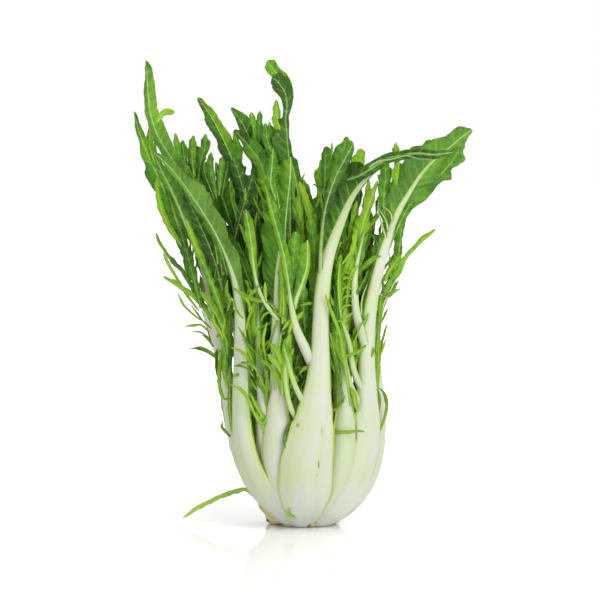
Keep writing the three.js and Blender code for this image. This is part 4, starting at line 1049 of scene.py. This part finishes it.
upperLeaves = {
    "tall_leaf": {
        "faces": (-100, -80),
        "stations": [
            (-3, -14, 8, 6), (-5, -24, 30, 8), (-8, -32, 60, 7), (-10, -36, 100, 5, 2, 2),
            (-11, -38, 150, 3.6, 8, 8), (-11, -40, 200, 1.6, 11, 8), (-11, -41, 250, 1.1, 14, 2),
            (-11, -42, 290, 0.8, 17, 1), (-13, -42, 318, 0.7, 12, 1), (-14, -42, 333, 0.6, 3, 2),
            (-13, -42, 345, 0.6, 5, 6), (-15, -43, 354, 0.5, 10, 8), (-20, -44, 362, 0.4, 8, 7),
            (-25, -44, 366, 0.4, 1, 1),
        ],
        "branches": [
            {
                "faces": (-92, -88),
                "stations": [
                    (-13, -41, 340, 0.5, 1, 2), (-11, -40, 351, 0.6, 2, 4), (-14, -41, 361, 0.6, 6, 6),
                    (-20, -43, 368, 0.5, 7, 6), (-25, -44, 374, 0.4, 6, 6),
                    (-28.5, -44, 379.5, 0.4, 2.5, 2.5),
                ],
                "fold": ((10, 5), (0, 0)), "lobeDepth": 0.15, "tint": 0.7, "greenMost": 0.95,
                "bladeColumns": 6,
            },
        ],
        "strands": [
            (0.3, 6, 0.8, (-40, -40), [(-18, 280), (-24, 300), (-29, 315), (-31, 330)]),
            (0.55, 5, 0.8, (-40, -40), [(-15, 300), (-18, 320), (-21, 333), (-22, 349)]),
        ],
        "broad": 1, "lobeDepth": 0.2, "tint": 0.15, "dull": 0.5,
    },
    "slim_leaf": {
        "faces": (-110, -100),
        "stations": [
            (-8, -12, 8, 6), (-14, -22, 28, 8), (-18, -27, 60, 7), (-21, -30, 100, 5, 2, 2),
            (-22, -33, 150, 3.4, 8, 8), (-23, -35, 200, 1.5, 7, 5), (-25, -36, 245, 1, 11, 8),
            (-28, -36, 275, 0.8, 9, 8), (-34, -36, 297, 0.6, 8, 8), (-44, -37, 311, 0.5, 5, 5),
            (-55, -37, 324, 0.4, 1, 1),
        ],
        "lobeDepth": 0.2, "tint": 0.2, "halves": (0.2, -0.05),
    },
    "oak_leaf": {
        "faces": (-70, -84),
        "stations": [
            (3, -12, 8, 6), (8, -22, 30, 8), (12, -28, 60, 7), (14, -31, 100, 5, 3, 3),
            (15, -33, 150, 3.4, 10, 10), (16, -34, 200, 1.5, 13, 13), (18, -35, 240, 1, 12, 12),
            (21, -35, 268, 0.8, 12, 12), (28, -36, 292, 0.6, 12, 8), (35, -36, 316, 0.4, 1, 1),
        ],
        "strands": [
            (0.35, 8, 0.8, (-37, -37), [(17, 268), (18, 284), (18, 298), (19, 311)]),
            (0.2, 6, 0.8, (-34, -34), [(24, 262), (25, 280), (25, 292), (26, 306)]),
            (0.6, 1.5, 0.5, (-36, -36), [(21, 290), (23, 303), (24, 314)]),
            (0.45, 8, 0.8, (-36, -36), [(27, 268), (31, 288), (34, 304), (35.5, 319)]),
            (0.5, 2.5, 0.6, (-36, -36), [(34, 285), (38, 300), (41, 314)]),
            (0.6, 8, 0.9, (-37, -37), [(41, 266), (43, 283), (46, 296), (48, 309)]),
            (0.45, 2, 0.5, (-36, -36), [(18, 268), (15, 276), (8, 280)]),
        ],
        "lobeDepth": 0.4, "tint": 0.4,
    },
    "middle_leaf": {
        "faces": (-90, -90),
        "stations": [
            (1, -8, 10, 4), (2, -18, 32, 6), (3, -24, 60, 6), (3, -27, 100, 4, 4, 4),
            (2, -28, 150, 2.8, 11, 11), (1, -29, 200, 1.1, 13, 13), (2, -30, 235, 0.8, 9, 9),
            (2, -30, 258, 0.6, 8, 8), (0, -30, 284, 0.4, 1, 1),
        ],
        "strands": [
            (0.95, 5, 0.8, (-36, -36), [(9, 225), (8, 245), (4, 262), (-3, 282)]),
            (0.75, 5.5, 0.8, (-35, -35), [(1, 215), (-1, 235), (-3, 255), (-3, 273)]),
            (0.5, 3, 0.7, (-38, -38), [(-3, 245), (-7, 258), (-12, 267)]),
            (0.75, 4.5, 0.7, (-38, -38), [(8, 185), (9, 210), (8, 232), (10, 256)]),
            (0.5, 5, 0.8, (-40, -40), [(3, 150), (4, 170), (7, 190), (6, 215)]),
            (0.2, 5, 0.8, (-34, -36), [(6, 150), (8, 175), (5, 200), (7, 222)]),
            (0.25, 5, 0.8, (-40, -42), [(-4, 150), (-5, 175), (-3, 200), (-8, 226)]),
        ],
        "lobeDepth": 0.35, "tint": 0.55,
    },
    "broad_leaf": {
        "faces": (-120, -95),
        "stations": [
            (-7, -6, 10, 5), (-15, -13, 30, 6), (-21, -18, 60, 6), (-24, -21, 100, 5, 3, 3),
            (-25, -24, 150, 3.4, 11, 11), (-26, -27, 200, 1.5, 14, 14), (-28, -28, 250, 1.1, 14, 14),
            (-33, -29, 288, 0.8, 11, 12), (-40, -30, 308, 0.6, 8, 9), (-48, -30, 327, 0.5, 4, 5),
            (-58, -30, 342, 0.4, 1, 1),
        ],
        "strands": [
            (0.5, 5.2, 0.6, (-31, -31), [(-37, 296), (-39, 314), (-41, 326), (-42.5, 339)]),
            (0.4, 3.8, 0.6, (-31, -31), [(-34, 298), (-36, 316), (-36, 328), (-35.5, 340)]),
        ],
        "lobeDepth": 0.35, "tint": 0.15,
    },
    "pointed_leaf": {
        "faces": (-150, -98),
        "stations": [
            (-12, -4, 8, 7), (-28, -8, 28, 9), (-38, -14, 60, 8), (-42, -18, 100, 6, 2, 2),
            (-43, -20, 150, 4, 9, 9), (-44, -22, 200, 1.7, 12, 12), (-46, -24, 245, 1.2, 12, 12),
            (-51, -25, 277, 0.9, 8, 9), (-57, -26, 298, 0.7, 8, 9), (-65, -27, 317, 0.6, 8, 7.5),
            (-74, -28, 334, 0.5, 5, 5), (-85, -30, 350, 0.4, 1, 1),
        ],
        "strands": [
            (0.85, 3.5, 0.8, (-26, -26), [(-49, 280), (-51, 292), (-54, 304), (-57, 322)]),
            (0, 9, 0.9, (-31, -31), [(-42, 240), (-46, 262), (-51, 282), (-57, 301)]),
            (0.05, 8, 0.9, (-33, -33), [(-56, 235), (-52, 252), (-47, 268), (-41, 288)]),
            (0, 7, 0.9, (-34, -34), [(-34, 232), (-36, 250), (-38, 268), (-36, 282)]),
            (0.6, 4, 0.7, (-32, -32), [(-53, 243), (-56, 257), (-59, 269), (-60, 284)]),
        ],
        "fold": ((14, 2), (6, 8)), "broad": 1, "lobeDepth": 0.15, "tint": 0.24, "halves": (-0.1, 0.36),
        "dull": 0.35,
    },
    "forked_leaf": {
        "faces": (-150, -115),
        "stations": [
            (-14, -1, 12, 5), (-26, -2, 30, 7), (-33, -3, 60, 7), (-35, -5, 100, 5, 3, 3),
            (-38, -9, 150, 3.4, 11, 11), (-46, -14, 200, 1.5, 14, 14), (-56, -18, 240, 1.1, 12, 12),
            (-65, -20, 268, 0.8, 10, 9), (-71, -21, 298, 0.4, 1, 1),
        ],
        "strands": [
            (0.35, 4.4, 0.7, (-22, -22), [(-71, 268), (-74, 285), (-76, 296), (-75, 306)]),
            (0.4, 4.2, 0.7, (-22, -22), [(-69, 270), (-68, 285), (-67, 295), (-66, 303)]),
            (0.3, 4.2, 0.7, (-23, -23), [(-67, 268), (-64, 284), (-62, 293), (-61, 303)]),
            (0.4, 3.8, 0.6, (-22, -22), [(-73, 268), (-78, 281), (-81, 290), (-81, 299)]),
        ],
        "lobeDepth": 0.45, "tint": 0.3,
    },
    "antler_leaf": {
        "faces": (170, -120),
        "stations": [
            (-18, 6, 8, 7), (-31, 8, 24, 9), (-42, 10, 52, 9), (-47, 10, 85, 8), (-47, 8, 120, 5.4, 8, 6),
            (-50, 3, 160, 4, 12, 12), (-57, -3, 200, 1.7, 14, 14), (-65, -7, 235, 1.2, 12, 12),
            (-77, -11, 268, 0.9, 13, 13), (-87, -13, 294, 0.7, 9, 9), (-90, -13, 314, 0.4, 1, 1),
        ],
        "strands": [
            (0.4, 5.4, 0.8, (-15, -15), [(-86, 282), (-84, 298), (-81, 309), (-80, 321)]),
            (0.45, 5, 0.8, (-16, -16), [(-89, 285), (-91, 299), (-91, 309), (-90, 320)]),
            (0.4, 4.4, 0.7, (-17, -17), [(-92, 285), (-97, 299), (-98, 308), (-99, 316)]),
            (0.5, 3.4, 0.6, (-17, -17), [(-95, 286), (-101, 301), (-103, 311), (-105, 322)]),
        ],
        "lobeDepth": 0.45, "tint": 0.35,
    },
}
for number, (node, leaf) in enumerate({**secondRow, **sideLeaves}.items()):
    growLeaf(node, leaf, leafSkin, 30 + number)
for number, (node, leaf) in enumerate(upperLeaves.items()):
    growLeaf(node, innerHabit | leaf, leafSkin, 36 + number)
print("front leaves grown")


bulb = {
    "radius": 63, "waist": 140,
    "profile": [(4, 0.35), (14, 0.57), (30, 0.78), (52, 0.92), (80, 0.985), (110, 1), (140, 1), (400, 1)],
    "levels": [4, 14, 30, 52, 80, 110, 140], "sharesAbove": [0.2, 0.4, 0.6, 0.8, 0.93, 1],
}
leafRings = {  # azimuth, height, how far the tip leans out, and how far it sways round
    "back_leaf": {
        "girth": 1, "rib": 15, "blade": 17, "opens": 150, "greenFrom": (150, 290), "seed": 109,
        "leaves": [(30, 298, 34, -6), (64, 312, 44, 8), (98, 334, 46, 14), (132, 326, 46, -10)],
    },
    "back_inner_leaf": {
        "girth": 0.79, "rib": 12, "blade": 17, "opens": 110, "greenFrom": (80, 190), "seed": 115,
        "leaves": [
            (8, 268, 14, 4), (46, 292, 18, -5), (82, 322, 22, 22), (116, 332, 26, -4), (150, 318, 24, 5),
        ],
    },
    "heart_leaf": {
        "girth": 0.56, "rib": 8, "blade": 15, "opens": 85, "greenFrom": (60, 140), "seed": 110,
        "leaves": [
            (-28, 262, 12, 4), (24, 284, 10, -6), (64, 300, 8, 6), (104, 278, 12, -5), (144, 316, 10, 5),
        ],
    },
}


def ringStations(ring, azimuth, height, lean, sway):
    waist = bulb["waist"]
    stations = []
    for level in bulb["levels"] + [waist + share * (height - waist) for share in bulb["sharesAbove"]]:
        spread = max(level - waist, 0) / (height - waist)
        girth = ring["girth"] * bulb["radius"] * np.interp(level, *zip(*bulb["profile"]))
        radius = girth + lean * spread**1.6
        turn = math.radians(azimuth + sway * spread**2)
        tapered = ease(level, -30, 30) * (1 - ease(level, 50, 210) * 0.84) * (1 - spread**3)
        rib = max(ring["rib"] * tapered, 0.5)
        opened = max(level - ring["opens"], 0) / (height - ring["opens"])
        reach = ring["blade"] * math.sin(math.pi * opened**0.8) ** 0.7 + (0.5 if opened > 0 else 0)
        stations.append((radius * math.cos(turn), radius * math.sin(turn), level, rib, reach, reach))
    return stations


for ringName, ring in leafRings.items():
    for index, (azimuth, height, lean, sway) in enumerate(ring["leaves"]):
        right = azimuth < 60  # these keep their side leaflets higher up
        own = {
            "stations": ringStations(ring, azimuth, height, lean, sway),
            "faces": (azimuth, azimuth + sway),
            "stems": (4, 0.42 if right else 0.25, 0.6),
            "sprouts": [(12, 6.5 if right else 4, 9, (20, 44), (1.6, 3.4))],
            "lobeDepth": 0.65, "ruffle": 2.4, "lift": 4.5, "greenFrom": ring["greenFrom"],
            "tint": 0.25 + 0.12 * (index % 3), "halves": (0.1, -0.05) if index % 2 else (-0.1, 0.1),
            "rowGap": 1.8, "bladeColumns": 6,
        }
        growLeaf(f"{ringName}_{index + 1}", own, leafSkin, ring["seed"] + 7 * index)
print("back and heart leaves grown")

lowSprig = {
    "faces": (-105, -100), "twist": (-60, -60), "stations": [
        (-27, 6, 9, 0.9, 0.7, 0.7), (-45, 8, 26, 0.8, 1.2, 1.2), (-54, 8, 26.5, 0.6, 2.6, 1.8),
        (-66, 6, 22.5, 0.5, 2.2, 2.4), (-78, 4, 17.5, 0.45, 2.8, 2.2), (-89, 2, 12, 0.4, 2.4, 2.4),
        (-99, 0, 4.5, 0.3, 0.7, 0.7),
    ],
    "lobeDepth": 0.35, "lobeGap": 12, "ruffle": 0.8, "lip": 0.2, "tint": 1, "dull": 0,
    "greenFrom": (-200, -100), "greenMost": 0.85, "bladeGreenFrom": (27, -8),
    "rowGap": 1.2, "bladeColumns": 4, "ribColumns": 7,
}
growLeaf("low_sprig", lowSprig, leafSkin, 90)

crown = {
    "radius": 31, "bumpiness": 0.9, "around": 72, "rings": 60,
    "profile": [
        (0, 0.9), (0.9, 0.9), (0.985, 3), (1, 6), (1, 14), (0.94, 24), (0.74, 36), (0.4, 46), (0, 50),
    ],
    "cutTo": 1.2, "rimFrom": 0.9, "rimTo": 2.6,  # in steps along the profile
}
stub = {  # the foot of a trimmed leaf. A ring is its depth, its size, and its shares of cut face and rim
    "centre": (-29, -22, 13), "across": (8, -2.4, -6.4), "sideways": (2, -2.7, 3.5), "axis": (5, 8, 3.5),
    "rings": [
        (0.02, 0.02, 1, 0), (0.0, 0.3, 1, 0), (-0.02, 0.6, 1, 0.1), (0.0, 0.84, 1, 0.2),
        (0.02, 0.94, 1, 1), (0.1, 1.0, 0, 1), (0.25, 1.02, 0, 0.9), (0.5, 1.02, 0, 0.5),
        (0.9, 1.0, 0, 0.1), (1.6, 0.8, 0, 0), (2.2, 0.4, 0, 0),
    ],
}


def spin(rings):  # rings of points, closed by a cap at each end
    return {"points": np.concatenate(rings)} | skinCorners(len(rings), len(rings[0]))


def growStump(turn, seed):
    steps = np.arange(len(crown["profile"]))
    shares, levels = zip(*crown["profile"])
    rings, tones = [], []
    for at in np.linspace(0, steps[-1], crown["rings"]):
        radius = max(np.interp(at, steps, shares), 0.015) * crown["radius"]
        bumps = 1 + 0.02 * np.sin(turn * 9 + at) + 0.012 * np.sin(turn * 23 - at * 0.7)
        lift = seed.uniform(-0.12, 0.12, len(turn)) * crown["bumpiness"]
        height = np.maximum(np.interp(at, steps, levels) + lift, leastHeight)
        rings.append(np.stack([radius * bumps * np.cos(turn), radius * bumps * np.sin(turn), height], 1))
        under = float(at < crown["cutTo"])
        rim = float(crown["rimFrom"] < at < crown["rimTo"])
        tones.append((under, rim, abs(math.sin(radius * 0.9)) * under))
    return spin(rings) | {"crownTone": np.repeat(np.array(tones, float), len(turn), axis=0)}


def growStub(turn, seed):
    ways = (stub[key] for key in ("centre", "across", "sideways", "axis"))
    centre, across, sideways, axis = (np.array(way, float) for way in ways)
    rings, tones = [], []
    for depth, size, cut, rim in stub["rings"]:
        rough = 1 + 0.035 * np.sin(turn * 5 + 1) + 0.03 * np.sin(turn * 11)
        rough = rough + 0.015 * seed.uniform(-1, 1, len(turn))
        ring = (centre + axis * depth + (np.cos(turn) * size * rough)[:, None] * across
                + (np.sin(turn) * size * rough)[:, None] * sideways)
        ring[:, 2] = np.maximum(ring[:, 2] + seed.uniform(-0.15, 0.15, len(turn)), leastHeight)
        rings.append(ring)
        tones.append((cut, rim, abs(math.sin(size * 9)) * cut))
    return spin(rings) | {"crownTone": np.repeat(np.array(tones, float), len(turn), axis=0)}


def growCrown(skin):
    seed = np.random.default_rng(7)
    turn = np.linspace(0, 2 * math.pi, crown["around"], endpoint=False)
    shells = [growStump(turn, seed), growStub(turn, seed)]
    standFor(joinShells("crown_cut", shells, skin, ("crownTone",)), "crown")


growCrown(makeCrownSkin(crownFinish))

heartShoots = {
    "heights": [172, 150, 164, 142, 158, 146, 168],  # the central shoot's, then round the ring
    "foot": 35, "ring": 18.5, "radius": 8.3, "around": 28, "rings": 40, "leaflets": 9,
    "outline": [
        (0, 0.55), (0.08, 0.72), (0.2, 0.9), (0.45, 1), (0.68, 0.86), (0.86, 0.5), (0.96, 0.22), (1, 0.03),
    ],
}


def growShoot(index, height, shoots, skin):
    seed = np.random.default_rng(60 + index)
    azimuth = math.radians(60 * index)
    distance = 0 if index == 0 else shoots["ring"]
    lean = math.radians(distance / 3)
    turn = np.linspace(0, 2 * math.pi, shoots["around"], endpoint=False)
    length = height - shoots["foot"]
    way = np.array([math.cos(azimuth), math.sin(azimuth), 0])
    foot = way * 0.8 * distance + np.array([0, 0, shoots["foot"]])
    axis = way * math.sin(lean) + np.array([0, 0, math.cos(lean)])
    beside = np.cross([0, 0, 1], way)
    front = np.cross(beside, axis)
    phase = seed.uniform(0, 6.3)
    rings, maps = [], []
    for share in np.linspace(0, 1, shoots["rings"]):
        size = shoots["radius"] * np.interp(share, *zip(*shoots["outline"]))
        ribs = 1 + 0.045 * np.sin(turn * 7 + phase) + 0.05 * np.sin(turn * 3 + share * 14 + phase)
        ahead = (np.cos(turn) * size * ribs)[:, None] * front
        aside = (np.sin(turn) * size * ribs)[:, None] * beside
        rings.append(foot + axis * share * length + ahead + aside)
        maps.append([(share * length, -3, angle * size) for angle in turn])
    shells = [spin(rings) | {"leafMap": np.concatenate(maps)}]
    for number in range(shoots["leaflets"]):
        share = 0.25 + 0.7 * number / shoots["leaflets"]
        angle = phase + number * 2.4
        outward = unit(front * math.cos(angle) + beside * math.sin(angle))
        size = shoots["radius"] * np.interp(share, *zip(*shoots["outline"]))
        start = foot + axis * share * length + outward * size * 0.85
        heading = unit(axis + outward * 0.35)
        stations = sproutStations(start, heading, seed.uniform(14, 30), seed.uniform(1.6, 3), seed)
        own = leafHabit | sproutHabit | {"faces": (azimuthOf(outward),) * 2, "tint": 0.7}
        shells.append(growShell(stations, own, seed)[1])
    piece = joinShells(f"shoot_{index + 1}_grown", shells, skin, ("leafMap",))
    standFor(piece, f"shoot_{index + 1}")


shootSkin = makeShootSkin(shootFinish)
for index, height in enumerate(heartShoots["heights"]):
    growShoot(index, height, heartShoots, shootSkin)
print("crown, shoots and low sprig made")


room = {  # metres and watts
    "floorColour": (0.95, 0.95, 0.95), "floorRoughness": 0.08, "floorSpan": 60.0,
    "floorGlow": 0.4, "nearGlow": 0.15, "glowFrom": (0.2, 1.3),  # the floor glows less round the head
    "skyShown": 1.0, "skyLight": 0.45,  # how bright the sky is to the eye, and as light on the leaves
    "skyMirrored": 0.92,  # how far it goes from the second to the first in the floor's reflection
    "lights": {  # place, what it points at, size across, power
        "keyLight": ((1.3, -1.45, 1.4), (0, 0, 0.18), 1.2, 35),
        "fillLight": ((-1.3, -1.4, 0.8), (0, 0, 0.16), 1.2, 12),
        "backLight": ((0.7, 2.1, 1.2), (0, 0, 0.16), 1.4, 36),
        "frontLight": ((1.0, -2.2, 0.5), (0, 0, 0.14), 1.6, 12),
        "topLight": ((0.1, -0.3, 1.7), (0, 0, 0.2), 1.2, 9),
    },
}


def layFloor():
    paint = Paint(bpy.data.materials.new("floorSkin"))
    place = paint.place()
    haze = paint.noise(place, 3, 2)
    far = paint.ease(paint.length(place), *room["glowFrom"])
    gloss = paint.add("BsdfPrincipled", None, {
        "Base Color": (*room["floorColour"], 1), "Specular IOR Level": 0.5,
        "Roughness": room["floorRoughness"] + (haze - 0.5) * 0.04,
        "Emission Color": paint.blend(far, (room["nearGlow"],) * 3, (1, 1, 1)),
        "Emission Strength": room["floorGlow"],
    })
    half = room["floorSpan"] / 2
    mesh = bpy.data.meshes.new("floor")
    corners = [(-half, -half, 0), (half, -half, 0), (half, half, 0), (-half, half, 0)]
    mesh.from_pydata(corners, [], [(0, 1, 2, 3)])
    mesh.materials.append(paint.finish(gloss))
    floor = bpy.data.objects.new("floor", mesh)
    stage.collection.objects.link(floor)


def lightSky():  # white to the eye but dimmer as light, so that leaves shade one another
    sky = Paint(bpy.data.worlds.new("softSky"))
    rays = sky.add("LightPath")
    seen = rays.out("Is Glossy Ray") * room["skyMirrored"] + rays.out("Is Camera Ray")
    span = {"Value": seen, "To Min": room["skyLight"], "To Max": room["skyShown"]}
    strength = sky.add("MapRange", None, span)
    light = sky.add("Background", None, {"Color": (1, 1, 1, 1), "Strength": strength})
    stage.world = sky.finish(light, "OutputWorld")


def hangLight(name, place, target, span, power):
    light = bpy.data.lights.new(name, "AREA")
    light.shape = "DISK"
    light.size = span
    light.energy = power
    lamp = bpy.data.objects.new(name, light)
    lamp.location = place
    lamp.rotation_euler = (Vector(target) - Vector(place)).to_track_quat("-Z", "Y").to_euler()
    stage.collection.objects.link(lamp)


layFloor()
lightSky()
for name, light in room["lights"].items():
    hangLight(name, *light)
stage.view_settings.view_transform = "Standard"

view = {"distance": 2.2, "elevation": 3, "aim": (-0.0025, 0, 0.1847), "span": 0.4935, "sensor": 36}


def placeCamera():
    lens = bpy.data.cameras.new("camera")
    lens.sensor_width = view["sensor"]
    lens.lens = view["sensor"] * view["distance"] / view["span"]
    camera = bpy.data.objects.new("camera", lens)
    tilt = math.radians(view["elevation"])
    x, y, z = view["aim"]
    camera.location = (x, y - view["distance"] * math.cos(tilt), z + view["distance"] * math.sin(tilt))
    camera.rotation_euler = (math.pi / 2 - tilt, 0, 0)
    stage.collection.objects.link(camera)
    stage.camera = camera


placeCamera()
